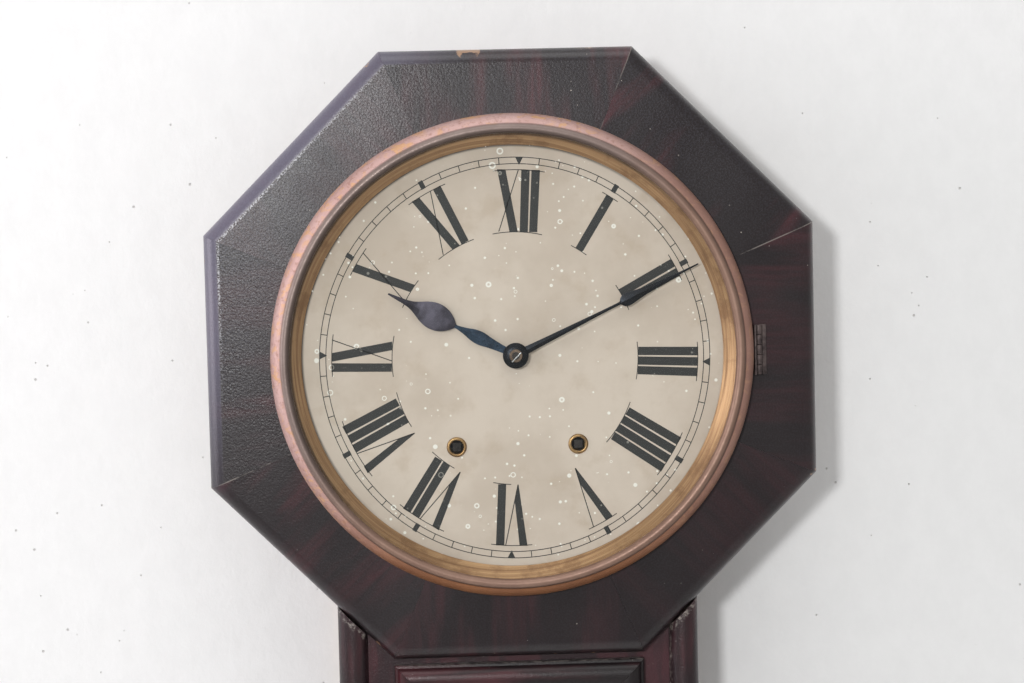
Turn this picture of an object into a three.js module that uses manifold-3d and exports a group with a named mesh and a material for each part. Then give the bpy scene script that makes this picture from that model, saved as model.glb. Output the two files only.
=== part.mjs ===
// An octagonal drop wall clock: eight-sided head with a round dial under a hinged bezel, a drop box with
// a glazed door, and a spring-driven striking movement with its pendulum inside.
// Millimetres. +Z is up, +X is to the right of someone facing the dial, and the dial faces -Y.
// The wall is the plane Y = 0 and the hands turn about the Y axis. A depth is a distance from the wall.
import * as THREE from 'three';
import { mergeVertices } from 'three/addons/utils/BufferGeometryUtils.js';
import Module from 'manifold-3d';

const wasm = await Module();
wasm.setup();

// Clearances
const FIT = 0.3;
const RUN = 0.35;

// Case
const CASE_OFF_X = -1.5;
const CASE_OFF_Z = -0.5;
const HEAD_FLATS = 365;
const HEAD_OPENING_R = 114;
const HEAD_BACK = 75;
const HEAD_THICK = 20;
const HEAD_EDGE_R = 9;
const BOX_WIDTH = 218;
const BOX_TOP = 140;
const BOARD_THICK = 12;
const BACKBOARD_THICK = 8;
const SHOULDER_Z = -320;
const POINT_Z = -372;
const PANEL_THICK = 8;
const COLUMN_WIDTH = 17.6;
const BLOCK_WIDTH = 14;
const HANGER_WIDTH = 28;
const HANGER_HEIGHT = 40;
const HANGER_THICK = 1.7;
const HANGER_TOP = 132;

// Drop door
const DOOR_INSET = 33.5;
const DOOR_TOP_GAP = 4;
const DOOR_THICK = 10;
const DOOR_BEVEL = 4;
const STILE_WIDTH = 24;
const RABBET = 3;
const PANEL_LAP = 12.3;
const DOOR_GLASS_THICK = 2;
const BUTT_LENGTH = 26;
const BUTT_R = 2;
const LEAF_THICK = 0.7;
const BUTT_FROM_TOP = 32;
const BUTT_FROM_SHOULDER = 40;
const KNOB_INSET = 16.8;

// Dial, bezel and glass
const DIAL_INSET = 6.8;
const DIAL_THICK = 1.2;
const EYELET_R = 6;
const EYELET_HOLE_R = 4;
const EYELET_PROUD = 0.9;
const BEZEL_R = 144.2;
const BEZEL_HIGH = 17.1;
const GLASS_THICK = 2;
const SIGHT_INSET = 18.6;
const LIP_INSET = 11.9;
const BEZEL_HINGE_LENGTH = 30;
const BEZEL_HINGE_R = 2;

// Movement plates
const BACK_PLATE = 32;
const PLATE_THICK = 2;
const PLATE_SPACE = 30;
const PLATE_HALF = 62;
const PLATE_TOP = 56;
const PLATE_BOTTOM = -96;
const LUG_HALF = 79;
const PILLAR_R = 3;

// Arbors, as [x, z] about the hand arbor
const WIND_X = 36.3;
const WIND_Z = -54;
const PIVOT_R = 1;
const ARBOR_R = 1.4;
const FINE_PIVOT_R = 0.5;
const FINE_ARBOR_R = 0.7;

// Pendulum
const SWING_Z = 44;
const ROD_R = 1.2;
const ROD_DEPTH = 20;
const BOB_Z = -276;
const BOB_R = 30;
const BOB_THICK = 14;
const NUT_R = 6;
const NUT_HIGH = 4;

// Hands
const MINUTE_TIP_SPACE = 4.1;
const HOUR_SHORTER = 37.3;
const HOUR_ANGLE = -62.7;
const MINUTE_ANGLE = 64.7;
const HAND_THICK = 0.8;
const WASHER_R = 7.7;

// Gong
const GONG_X = -58;
const GONG_Z = -140;
const GONG_IN = 9;
const GONG_OUT = 31;
const GONG_TURNS = 4.5;
const GONG_WIRE = 2.6;
const GONG_DEPTH = 25.5;

const HEAD_FRONT = HEAD_BACK + HEAD_THICK;
const PANEL_FRONT = HEAD_BACK + PANEL_THICK;
const DOOR_BACK = PANEL_FRONT + FIT;
const DOOR_FRONT = DOOR_BACK + DOOR_THICK;
const DIAL_FRONT = HEAD_FRONT + FIT + DIAL_THICK;
const FRONT_PLATE = BACK_PLATE + PLATE_THICK + PLATE_SPACE;
const PLATE_FRONT = FRONT_PLATE + PLATE_THICK;
const INNER_BACK = BACK_PLATE + PLATE_THICK;
const HALF_BOX = BOX_WIDTH / 2;
const DIAL_R = BEZEL_R - DIAL_INSET;
const SIGHT_R = BEZEL_R - SIGHT_INSET;
const MINUTE_LENGTH = SIGHT_R - MINUTE_TIP_SPACE;
const HOUR_LENGTH = MINUTE_LENGTH - HOUR_SHORTER;
const V_SLOPE = (SHOULDER_Z - POINT_Z) / HALF_BOX;
const V_STRETCH = Math.hypot(1, V_SLOPE);
const OCTANT = Math.PI / 4;

const finish = (color, roughness, metalness) =>
  new THREE.MeshStandardMaterial({ color, roughness, metalness });
const veneer = finish(0x3a2225, 0.45, 0);
const deal = finish(0x8a6a48, 0.8, 0);
const copper = finish(0xb98468, 0.35, 1);
const bronze = finish(0x9a7448, 0.4, 1);
const brass = finish(0xb08d4c, 0.4, 1);
const steel = finish(0x8c8c8e, 0.4, 1);
const blued = finish(0x1f242c, 0.35, 1);
const iron = finish(0x2c2a29, 0.7, 0.6);
const paint = finish(0xcdc3b4, 0.7, 0);
const glassy = new THREE.MeshStandardMaterial({
  color: 0xe6ecea, roughness: 0.05, metalness: 0, transparent: true, opacity: 0.25,
});

// A closed geometry: shared corners, no slivers, faces pointing out
function closed(source) {
  const bare = source.index ? source.toNonIndexed() : source.clone();
  bare.deleteAttribute('normal');
  bare.deleteAttribute('uv');
  const merged = mergeVertices(bare, 1e-4);
  const place = merged.getAttribute('position');
  const corners = [];
  const index = merged.getIndex().array;
  let volume = 0;
  const a = new THREE.Vector3();
  const b = new THREE.Vector3();
  const c = new THREE.Vector3();
  for (let i = 0; i < index.length; i += 3) {
    const [p, q, r] = [index[i], index[i + 1], index[i + 2]];
    if (p === q || q === r || r === p) continue;
    corners.push(p, q, r);
    a.fromBufferAttribute(place, p);
    b.fromBufferAttribute(place, q);
    c.fromBufferAttribute(place, r);
    volume += a.dot(b.cross(c));
  }
  if (volume < 0) corners.reverse();
  const out = new THREE.BufferGeometry();
  out.setAttribute('position', place);
  out.setIndex(corners);
  return out;
}

function solid(geometry) {
  const tidy = closed(geometry);
  return new wasm.Manifold(new wasm.Mesh({
    numProp: 3,
    vertProperties: new Float32Array(tidy.getAttribute('position').array),
    triVerts: new Uint32Array(tidy.getIndex().array),
  }));
}

function surface(body) {
  const mesh = body.getMesh();
  const out = new THREE.BufferGeometry();
  out.setAttribute('position', new THREE.BufferAttribute(new Float32Array(mesh.vertProperties), 3));
  out.setIndex(new THREE.BufferAttribute(new Uint32Array(mesh.triVerts), 1));
  return out;
}

const joined = (first, ...rest) =>
  surface(rest.reduce((body, next) => body.add(solid(next)), solid(first)));
const without = (first, ...rest) =>
  surface(rest.reduce((body, next) => body.subtract(solid(next)), solid(first)));
const shared = (first, second) => surface(solid(first).intersect(solid(second)));

function outlineOf(points, holes = []) {
  const shape = new THREE.Shape(points.map(([x, z]) => new THREE.Vector2(x, z)));
  shape.holes = holes.map((hole) => new THREE.Path(hole.map(([x, z]) => new THREE.Vector2(x, z))));
  return shape;
}

// A flat piece parallel to the dial, from one depth to a greater one
function slab(points, near, far, holes = []) {
  const geometry = new THREE.ExtrudeGeometry(outlineOf(points, holes), {
    depth: far - near, bevelEnabled: false,
  });
  return geometry.rotateX(Math.PI / 2).translate(0, -near, 0);
}

function box(x0, x1, near, far, z0, z1) {
  return new THREE.BoxGeometry(x1 - x0, far - near, z1 - z0)
    .translate((x0 + x1) / 2, -(near + far) / 2, (z0 + z1) / 2);
}

// A turned piece about an axis along Y, from [radius, depth] points
function turned(points, sides = 24, x = 0, z = 0) {
  const profile = points.map(([r, depth]) => new THREE.Vector2(r, -depth));
  return new THREE.LatheGeometry(profile, sides).translate(x, 0, z);
}

const rod = (r, near, far, x = 0, z = 0, sides = 12) =>
  turned([[0, near], [r, near], [r, far], [0, far]], sides, x, z);

const ringOf = (r, sides, turn = 0) => Array.from({ length: sides }, (_, i) => {
  const angle = turn + (i * 2 * Math.PI) / sides;
  return [r * Math.cos(angle), r * Math.sin(angle)];
});

const moved = (points, x, z) => points.map(([px, pz]) => [px + x, pz + z]);

const clock = new THREE.Group();
const casework = new THREE.Group();
casework.position.set(CASE_OFF_X, 0, CASE_OFF_Z);
clock.add(casework);

function place(group, name, geometry, material) {
  const mesh = new THREE.Mesh(closed(geometry), material);
  mesh.name = name;
  group.add(mesh);
  return mesh;
}

// The drop's outline, drawn in from its edges by an inset, from a top height down to the point
function dropOutline(inset, top) {
  const half = HALF_BOX - inset;
  const point = POINT_Z + inset * V_STRETCH;
  const shoulder = point + half * V_SLOPE;
  return [[-half, top], [-half, shoulder], [0, point], [half, shoulder], [half, top]];
}

// Head: eight mitred rails
function headRail() {
  const edge = HEAD_FLATS / 2;
  const half = OCTANT / 2;
  const slip = FIT / 2;
  const arcSteps = 10;
  const onMitre = (reach, side) => [
    side * (reach * Math.sin(half) - slip * Math.cos(half)), reach * Math.cos(half) + slip * Math.sin(half),
  ];
  const outer = edge / Math.cos(half);
  const arc = Array.from({ length: arcSteps - 1 }, (_, i) => {
    const angle = -half + ((i + 1) * OCTANT) / arcSteps;
    return [HEAD_OPENING_R * Math.sin(angle), HEAD_OPENING_R * Math.cos(angle)];
  });
  const cornerX = outer * Math.sin(half) - slip / Math.cos(half);
  const plan = slab(
    [onMitre(HEAD_OPENING_R, -1), ...arc, onMitre(HEAD_OPENING_R, 1), [cornerX, edge], [-cornerX, edge]],
    HEAD_BACK, HEAD_FRONT,
  );
  const rounding = Array.from({ length: 7 }, (_, i) => {
    const angle = (i * Math.PI) / 12;
    return new THREE.Vector2(
      edge - HEAD_EDGE_R * (1 - Math.cos(angle)),
      HEAD_FRONT - HEAD_EDGE_R * (1 - Math.sin(angle)),
    );
  });
  const section = new THREE.Shape([
    new THREE.Vector2(HEAD_OPENING_R / 2, HEAD_BACK - 1),
    new THREE.Vector2(edge, HEAD_BACK - 1),
    ...rounding,
    new THREE.Vector2(HEAD_OPENING_R / 2, HEAD_FRONT),
  ]);
  const length = HEAD_FLATS;
  const bar = new THREE.ExtrudeGeometry(section, { depth: length, bevelEnabled: false });
  // section x runs up the rail, section y is depth, and the bar runs along X
  bar.translate(0, 0, -length / 2).applyMatrix4(new THREE.Matrix4().set(
    0, 0, 1, 0,
    0, -1, 0, 0,
    1, 0, 0, 0,
    0, 0, 0, 1,
  ));
  return shared(plan, bar);
}

const rail = headRail();
for (let i = 0; i < 8; i += 1) {
  place(casework, `head_rail_${i + 1}`, rail, veneer).rotation.y = i * OCTANT;
}

const octagon = (grow) => ringOf(
  (HEAD_FLATS / 2 + grow) / Math.cos(OCTANT / 2), 8, OCTANT / 2,
);

// Box: backboard, sides, top, pointed bottom
const hangerRecess = box(
  -HANGER_WIDTH / 2 - FIT, HANGER_WIDTH / 2 + FIT, -1, HANGER_THICK + FIT,
  HANGER_TOP - HANGER_HEIGHT - FIT, HANGER_TOP + FIT,
);
place(casework, 'backboard', without(
  slab(dropOutline(0, BOX_TOP), 0, BACKBOARD_THICK), hangerRecess,
), deal);
place(casework, 'hanger_plate', slab(
  [[-HANGER_WIDTH / 2, HANGER_TOP - HANGER_HEIGHT], [HANGER_WIDTH / 2, HANGER_TOP - HANGER_HEIGHT],
    [HANGER_WIDTH / 2, HANGER_TOP], [-HANGER_WIDTH / 2, HANGER_TOP]],
  0, HANGER_THICK, [moved(ringOf(4, 12), 0, HANGER_TOP - HANGER_HEIGHT / 2)],
), iron);

const wallNear = BACKBOARD_THICK + FIT;
const wallFar = HEAD_BACK - FIT;
const outerV = (x) => POINT_Z + x * V_SLOPE;
const innerV = (x) => outerV(x) + BOARD_THICK * V_STRETCH;
for (const [name, side] of [['left', -1], ['right', 1]]) {
  const inner = HALF_BOX - BOARD_THICK;
  place(casework, `side_${name}`, slab([
    [side * HALF_BOX, BOX_TOP], [side * HALF_BOX, outerV(HALF_BOX) + FIT],
    [side * inner, innerV(inner) + FIT], [side * inner, BOX_TOP],
  ], wallNear, wallFar), veneer);
  place(casework, `bottom_board_${name}`, slab([
    [side * HALF_BOX, outerV(HALF_BOX)], [side * FIT / 2, outerV(0)],
    [side * FIT / 2, innerV(0)], [side * inner, innerV(inner)],
  ], wallNear, wallFar), veneer);
}
place(casework, 'top_board', box(
  -HALF_BOX + BOARD_THICK + FIT, HALF_BOX - BOARD_THICK - FIT,
  wallNear, wallFar, BOX_TOP - BOARD_THICK, BOX_TOP,
), veneer);

// Front of the drop: panel with the door opening, half-round columns, both cut to the head
const headCut = slab(octagon(FIT), HEAD_BACK - 2, HEAD_FRONT + 2);
const doorTop = -HEAD_FLATS / 2 - DOOR_TOP_GAP;
place(casework, 'drop_panel', without(
  slab(dropOutline(0, -HEAD_FLATS / 4), HEAD_BACK, PANEL_FRONT, [
    dropOutline(DOOR_INSET + PANEL_LAP, doorTop - PANEL_LAP),
  ]),
  headCut,
), veneer);

function column(side) {
  const r = COLUMN_WIDTH / 2;
  const centre = side * (HALF_BOX - r);
  const bow = Array.from({ length: 11 }, (_, i) => {
    const angle = (i * Math.PI) / 10;
    return new THREE.Vector2(centre + r * Math.cos(angle), -(PANEL_FRONT + FIT) - r * Math.sin(angle));
  });
  const long = -HEAD_FLATS / 4 - SHOULDER_Z;
  const bar = new THREE.ExtrudeGeometry(new THREE.Shape(bow), { depth: long, bevelEnabled: false });
  return without(bar.translate(0, 0, SHOULDER_Z), headCut);
}
place(casework, 'column_left', column(-1), veneer);
place(casework, 'column_right', column(1), veneer);

// Drop door: mitred frame with a rounded moulding, glass from behind, two butt hinges, turn knob
const doorOuter = dropOutline(DOOR_INSET, doorTop);
const doorSight = dropOutline(DOOR_INSET + STILE_WIDTH, doorTop - STILE_WIDTH);
const rabbetInset = DOOR_INSET + STILE_WIDTH - RABBET;
const rabbetTop = doorTop - STILE_WIDTH + RABBET;
const rabbetDeep = DOOR_GLASS_THICK + 2 * FIT;
const hingeX = HALF_BOX - DOOR_INSET + LEAF_THICK + 2 * FIT + BUTT_R;
const hingeDepth = DOOR_BACK + 1.2 + BUTT_R;
const buttUp = doorTop - BUTT_FROM_TOP;
const buttDown = SHOULDER_Z + BUTT_FROM_SHOULDER;
const knobX = -(HALF_BOX - DOOR_INSET - KNOB_INSET);
const knobZ = (buttUp + buttDown) / 2;
const knobShaftR = 1.8;

function doorFrame() {
  const blank = new THREE.ExtrudeGeometry(outlineOf(doorOuter, [doorSight]), {
    depth: DOOR_THICK, bevelEnabled: true, bevelThickness: DOOR_BEVEL, bevelSize: DOOR_BEVEL,
    bevelOffset: -DOOR_BEVEL, bevelSegments: 4,
  });
  blank.rotateX(Math.PI / 2).translate(0, -(DOOR_FRONT - DOOR_THICK - DOOR_BEVEL), 0);
  return solid(blank).subtract(solid(slab(dropOutline(0, 0), HEAD_BACK - DOOR_THICK, DOOR_BACK)));
}
const doorBody = doorFrame()
  .subtract(solid(slab(dropOutline(rabbetInset, rabbetTop), DOOR_BACK - 1, DOOR_BACK + rabbetDeep)))
  .subtract(solid(rod(knobShaftR + RUN, DOOR_BACK - 1, DOOR_FRONT + 1, knobX, knobZ)));
place(casework, 'door_frame', surface(doorBody), veneer);
place(casework, 'door_glass', slab(
  dropOutline(rabbetInset + FIT, rabbetTop - FIT),
  DOOR_BACK + FIT, DOOR_BACK + FIT + DOOR_GLASS_THICK,
), glassy);

// A hinge along Z: knuckles shared out between the two leaves, the fixed one holding the pin
function hingePair(x, depth, z, length, r, knuckles, fixedLeaf, movingLeaf) {
  const step = length / knuckles;
  const pinR = r * 0.45;
  const barrel = (i, hollow) => {
    const shape = new THREE.Shape().absarc(x, -depth, r, 0, 2 * Math.PI);
    if (hollow) shape.holes = [new THREE.Path().absarc(x, -depth, pinR + RUN, 0, 2 * Math.PI, true)];
    const low = z - length / 2 + i * step + FIT / 2;
    return new THREE.ExtrudeGeometry(shape, { depth: step - FIT, bevelEnabled: false, curveSegments: 8 })
      .translate(0, 0, low);
  };
  const pin = new THREE.ExtrudeGeometry(new THREE.Shape().absarc(x, -depth, pinR, 0, 2 * Math.PI), {
    depth: length - FIT, bevelEnabled: false, curveSegments: 6,
  }).translate(0, 0, z - length / 2 + FIT / 2);
  let fixed = solid(pin);
  let moving = null;
  const reach = r + FIT;
  for (let i = 0; i < knuckles; i += 1) {
    const low = z - length / 2 + i * step;
    const clear = new THREE.BoxGeometry(2 * reach, 2 * reach, step + FIT)
      .translate(x, -depth, low + step / 2);
    const odd = i % 2 === 1;
    if (odd) moving = moving ? moving.add(solid(barrel(i, true))) : solid(barrel(i, true));
    else fixed = fixed.add(solid(barrel(i, false)));
    if (odd) fixedLeaf = without(fixedLeaf, clear);
    else movingLeaf = without(movingLeaf, clear);
  }
  return { fixed: surface(fixed.add(solid(fixedLeaf))), moving: surface(moving.add(solid(movingLeaf))) };
}

for (const [i, z] of [buttUp, buttDown].entries()) {
  const half = BUTT_LENGTH / 2;
  const doorSide = HALF_BOX - DOOR_INSET;
  const fixedLeaf = box(hingeX, hingeX + 9, DOOR_BACK, DOOR_BACK + 1.6, z - half, z + half);
  const movingLeaf = box(
    doorSide + FIT, hingeX - BUTT_R / 2, DOOR_BACK + 1.2, DOOR_BACK + 5.2, z - half, z + half,
  );
  const pair = hingePair(hingeX, hingeDepth, z, BUTT_LENGTH, BUTT_R, 3, fixedLeaf, movingLeaf);
  place(casework, `door_hinge_fixed_${i + 1}`, pair.fixed, brass);
  place(casework, `door_hinge_moving_${i + 1}`, pair.moving, brass);
}

const camLength = 12;
const camBack = HEAD_BACK - FIT - 2.4;
place(casework, 'door_knob', joined(
  turned([
    [0, DOOR_FRONT + FIT], [4.5, DOOR_FRONT + FIT], [3, DOOR_FRONT + 3], [6, DOOR_FRONT + 6],
    [5, DOOR_FRONT + 9], [0, DOOR_FRONT + 10],
  ], 16, knobX, knobZ),
  rod(knobShaftR, camBack + 0.2, DOOR_FRONT + 1, knobX, knobZ),
  box(knobX - 2.5, knobX + 2.5, camBack, HEAD_BACK - FIT, knobZ - 3, knobZ + camLength),
), brass);

// Bezel: a spun ring, hollow behind, with the glass in its rabbet and the sight ring behind that
const bezelBase = HEAD_FRONT + FIT;
const bezelTop = bezelBase + BEZEL_HIGH;
const glassR = BEZEL_R - 8.5;
const glassFront = bezelTop - 3.8 - FIT;
const glassBack = glassFront - GLASS_THICK;
const ringSides = 56;
place(casework, 'bezel_ring', turned([
  [BEZEL_R, bezelBase], [BEZEL_R, bezelTop - 11], [BEZEL_R - 1, bezelTop - 6],
  [BEZEL_R - 3.4, bezelTop - 2], [BEZEL_R - 7, bezelTop], [BEZEL_R - LIP_INSET + 1.8, bezelTop - 1],
  [BEZEL_R - LIP_INSET, bezelTop - 3.2], [BEZEL_R - LIP_INSET, glassFront + FIT],
  [glassR + FIT, glassFront + FIT], [glassR + FIT, glassBack - 1], [BEZEL_R - 3.6, bezelTop - 8.4],
  [BEZEL_R - 1.4, bezelBase], [BEZEL_R, bezelBase],
], ringSides), copper);
place(casework, 'bezel_glass', turned([
  [0, glassBack], [glassR, glassBack], [glassR, glassFront], [0, glassFront],
], ringSides), glassy);
const sightFront = glassBack - FIT;
const sightBack = DIAL_FRONT + 1;
place(casework, 'sight_ring', turned([
  [glassR, sightFront], [glassR, sightFront - 0.8], [glassR - 1.4, sightFront - 0.8],
  [SIGHT_R + 1.1, sightBack], [SIGHT_R, sightBack], [SIGHT_R, sightBack + 0.6],
  [glassR - 2.1, sightFront], [glassR, sightFront],
], ringSides), bronze);

const bezelHingeX = BEZEL_R + LEAF_THICK + 2 * FIT + BEZEL_HINGE_R;
const bezelHingeDepth = bezelBase + FIT + BEZEL_HINGE_R;
{
  const half = BEZEL_HINGE_LENGTH / 2;
  const fixedLeaf = box(bezelHingeX, bezelHingeX + 4.5, bezelBase, bezelBase + 1.3, -half, half);
  const movingLeaf = box(
    BEZEL_R + FIT, bezelHingeX - BEZEL_HINGE_R + 0.5, bezelBase + 0.6, bezelBase + 6, -half, half,
  );
  const pair = hingePair(
    bezelHingeX, bezelHingeDepth, 0, BEZEL_HINGE_LENGTH, BEZEL_HINGE_R, 5, fixedLeaf, movingLeaf,
  );
  place(casework, 'bezel_hinge_fixed', pair.fixed, copper);
  place(casework, 'bezel_hinge_moving', pair.moving, copper);
}

// Dial plate on the head's front, with its two winding eyelets riveted in
const dialBack = HEAD_FRONT + FIT;
let dial = solid(turned([
  [0, dialBack], [DIAL_R, dialBack], [DIAL_R, DIAL_FRONT], [0, DIAL_FRONT],
], ringSides));
for (const side of [-1, 1]) {
  dial = dial.add(solid(turned([
    [0, dialBack], [EYELET_R, dialBack], [EYELET_R, DIAL_FRONT + EYELET_PROUD * 0.5],
    [EYELET_R - 0.8, DIAL_FRONT + EYELET_PROUD], [0, DIAL_FRONT + EYELET_PROUD],
  ], 24, side * WIND_X, WIND_Z)));
  dial = dial.subtract(solid(rod(EYELET_HOLE_R, dialBack - 2, DIAL_FRONT + 4, side * WIND_X, WIND_Z, 24)));
}
const HOUR_PIPE_R = 5;
dial = dial.subtract(solid(rod(HOUR_PIPE_R + 1, dialBack - 2, DIAL_FRONT + 4, 0, 0, 24)));
place(clock, 'dial_plate', surface(dial), paint);

// Movement plates. The front plate has the pillars and the motion-work stud, the back plate the lugs
// and the cock that the pendulum hangs from.
const SPRING_PILLAR = [61, -82];
const TOP_PILLAR = [48, 47];
const pillars = [
  SPRING_PILLAR, [-SPRING_PILLAR[0], SPRING_PILLAR[1]], TOP_PILLAR, [-TOP_PILLAR[0], TOP_PILLAR[1]],
];

// Trains, each wheel's module given beside the great wheels' one, which goes with the winding arbors' spread
const GREAT_MODULE = Math.hypot(WIND_X, WIND_Z) * 0.0123;
const wheelPlan = (teeth, share) => {
  const module = GREAT_MODULE * share;
  return { teeth, module, r: (teeth * module) / 2 };
};
const mesh = {
  timeGreat: wheelPlan(75, 1), secondPinion: wheelPlan(15, 1),
  second: wheelPlan(48, 1.125), centrePinion: wheelPlan(20, 1.125),
  centre: wheelPlan(72, 0.625), thirdPinion: wheelPlan(7, 0.625),
  third: wheelPlan(60, 0.5625), escapePinion: wheelPlan(7, 0.5625),
  cannon: wheelPlan(12, 0.9375), minute: wheelPlan(36, 0.9375),
  minutePinion: wheelPlan(10, 0.9), hour: wheelPlan(40, 0.9),
  strikeGreat: wheelPlan(78, 1), pinPinion: wheelPlan(13, 1),
  pin: wheelPlan(78, 0.625), warnPinion: wheelPlan(6, 0.625),
  warn: wheelPlan(42, 0.5625), flyPinion: wheelPlan(6, 0.5625),
};

// The point at distance ra from a and rb from b, on the left of the way from a to b when side is 1
function meet(a, ra, b, rb, side) {
  const gap = Math.hypot(b[0] - a[0], b[1] - a[1]);
  const along = (ra * ra - rb * rb + gap * gap) / (2 * gap);
  const off = Math.sqrt(ra * ra - along * along);
  const [ux, uz] = [(b[0] - a[0]) / gap, (b[1] - a[1]) / gap];
  return [a[0] + along * ux - side * off * uz, a[1] + along * uz + side * off * ux];
}
const from = (a, r, degrees) => [
  a[0] + r * Math.cos(THREE.MathUtils.degToRad(degrees)),
  a[1] + r * Math.sin(THREE.MathUtils.degToRad(degrees)),
];
const apart = (a, b) => a.r + b.r;

const CENTRE = [0, 0];
const TIME_GREAT = [WIND_X, WIND_Z];
const STRIKE_GREAT = [-WIND_X, WIND_Z];
const SECOND = meet(
  TIME_GREAT, apart(mesh.timeGreat, mesh.secondPinion), CENTRE, apart(mesh.second, mesh.centrePinion), -1,
);
const THIRD = from(CENTRE, apart(mesh.centre, mesh.thirdPinion), 50.7);
const ESCAPE = from(THIRD, apart(mesh.third, mesh.escapePinion), 146);
const MINUTE = from(CENTRE, apart(mesh.cannon, mesh.minute), 60);
const PIN = from(STRIKE_GREAT, apart(mesh.strikeGreat, mesh.pinPinion), 80);
const WARN = from(PIN, apart(mesh.pin, mesh.warnPinion), 100);
const FLY = from(WARN, apart(mesh.warn, mesh.flyPinion), 60);
const HAMMER = [-8, -80];

// Pointed teeth, thinner than the spaces, with one tooth at the phase angle
const ADDENDUM = 0.85;
const DEDENDUM = 1.6;
function teethOutline({ teeth, module, r }, phase) {
  const points = [];
  for (let i = 0; i < teeth; i += 1) {
    const tip = phase + (i * 2 * Math.PI) / teeth;
    const root = tip + Math.PI / teeth;
    const [out, low] = [r + ADDENDUM * module, r - DEDENDUM * module];
    points.push([out * Math.cos(tip), out * Math.sin(tip)], [low * Math.cos(root), low * Math.sin(root)]);
  }
  return points;
}

// The phase that puts a tooth of b in a space of a on the line of centres
function matching(a, phaseA, placeA, b, placeB) {
  const theta = Math.atan2(placeB[1] - placeA[1], placeB[0] - placeA[0]);
  const turns = ((theta - phaseA) * a.teeth) / (2 * Math.PI);
  const part = turns - Math.floor(turns);
  return theta + Math.PI + ((part + 0.5) * 2 * Math.PI) / b.teeth;
}

const wheel = (plan, phase, at, near, far, bore) =>
  slab(moved(teethOutline(plan, phase), ...at), near, far, bore ? [moved(ringOf(bore, 16), ...at)] : []);

const phase = {};
phase.centre = 0;
phase.thirdPinion = matching(mesh.centre, phase.centre, CENTRE, mesh.thirdPinion, THIRD);
phase.third = 0;
phase.escapePinion = matching(mesh.third, phase.third, THIRD, mesh.escapePinion, ESCAPE);
phase.centrePinion = 0;
phase.second = matching(mesh.centrePinion, phase.centrePinion, CENTRE, mesh.second, SECOND);
phase.secondPinion = 0;
phase.timeGreat = matching(mesh.secondPinion, phase.secondPinion, SECOND, mesh.timeGreat, TIME_GREAT);
phase.cannon = 0;
phase.minute = matching(mesh.cannon, phase.cannon, CENTRE, mesh.minute, MINUTE);
phase.minutePinion = 0;
phase.hour = matching(mesh.minutePinion, phase.minutePinion, MINUTE, mesh.hour, CENTRE);
phase.pinPinion = 0;
phase.strikeGreat = matching(mesh.pinPinion, phase.pinPinion, PIN, mesh.strikeGreat, STRIKE_GREAT);
phase.pin = 0;
phase.warnPinion = matching(mesh.pin, phase.pin, PIN, mesh.warnPinion, WARN);
phase.warn = 0;
phase.flyPinion = matching(mesh.warn, phase.warn, WARN, mesh.flyPinion, FLY);

// Depths of the layers between the plates
const GREAT_NEAR = INNER_BACK + 5;
const GREAT_FAR = GREAT_NEAR + 2.4;
const SPRING_NEAR = GREAT_FAR + 3.4;
const SPRING_FAR = SPRING_NEAR + 14.5;
const FAST_NEAR = FRONT_PLATE - 3;
const CENTRE_NEAR = INNER_BACK + 16;
const THIRD_NEAR = INNER_BACK + 7;
const ESCAPE_NEAR = INNER_BACK + 22;
const WARN_NEAR = INNER_BACK + 21.5;

const PLATE_HOLES = {
  arbor: PIVOT_R + RUN, fine: FINE_PIVOT_R + RUN, wind: 4 + RUN, centre: 2.6 + RUN, verge: 1.4 + RUN,
};

// An arbor with a pivot in each plate
const arbor = (at, r = ARBOR_R, pivot = PIVOT_R) => turned([
  [0, BACK_PLATE], [pivot, BACK_PLATE], [pivot, INNER_BACK + FIT], [r, INNER_BACK + FIT],
  [r, FRONT_PLATE - FIT], [pivot, FRONT_PLATE - FIT], [pivot, PLATE_FRONT], [0, PLATE_FRONT],
], 10, ...at);
const fineArbor = (at) => arbor(at, FINE_ARBOR_R, FINE_PIVOT_R);

const stoutPivots = [SECOND, PIN, HAMMER];
const finePivots = [THIRD, ESCAPE, WARN, FLY];
const round = (at, r, sides = 12) => moved(ringOf(r, sides), ...at);
const VERGE = [0, SWING_Z];
const plateOutline = (half, top, bottom) => [
  [-half, bottom + 8], [-half + 8, bottom], [half - 8, bottom], [half, bottom + 8],
  [half, top - 22], [half - 22, top], [-half + 22, top], [-half, top - 22],
];

const frontHoles = [
  ...stoutPivots.map((at) => round(at, PLATE_HOLES.arbor)),
  ...finePivots.map((at) => round(at, PLATE_HOLES.fine)),
  round(VERGE, PLATE_HOLES.arbor), round(CENTRE, PLATE_HOLES.centre),
  round(TIME_GREAT, PLATE_HOLES.wind), round(STRIKE_GREAT, PLATE_HOLES.wind),
];
let frontPlate = solid(slab(
  plateOutline(PLATE_HALF + 4, PLATE_TOP, PLATE_BOTTOM), FRONT_PLATE, PLATE_FRONT, frontHoles,
));
for (const at of pillars) {
  frontPlate = frontPlate.add(solid(rod(PILLAR_R, INNER_BACK + FIT, FRONT_PLATE + 1, ...at)));
}
const STUD_R = 1.5;
const studFar = PLATE_FRONT + 8.5;
frontPlate = frontPlate.add(solid(rod(STUD_R, FRONT_PLATE + 1, studFar, ...MINUTE)));
place(clock, 'front_plate', surface(frontPlate), brass);

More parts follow.
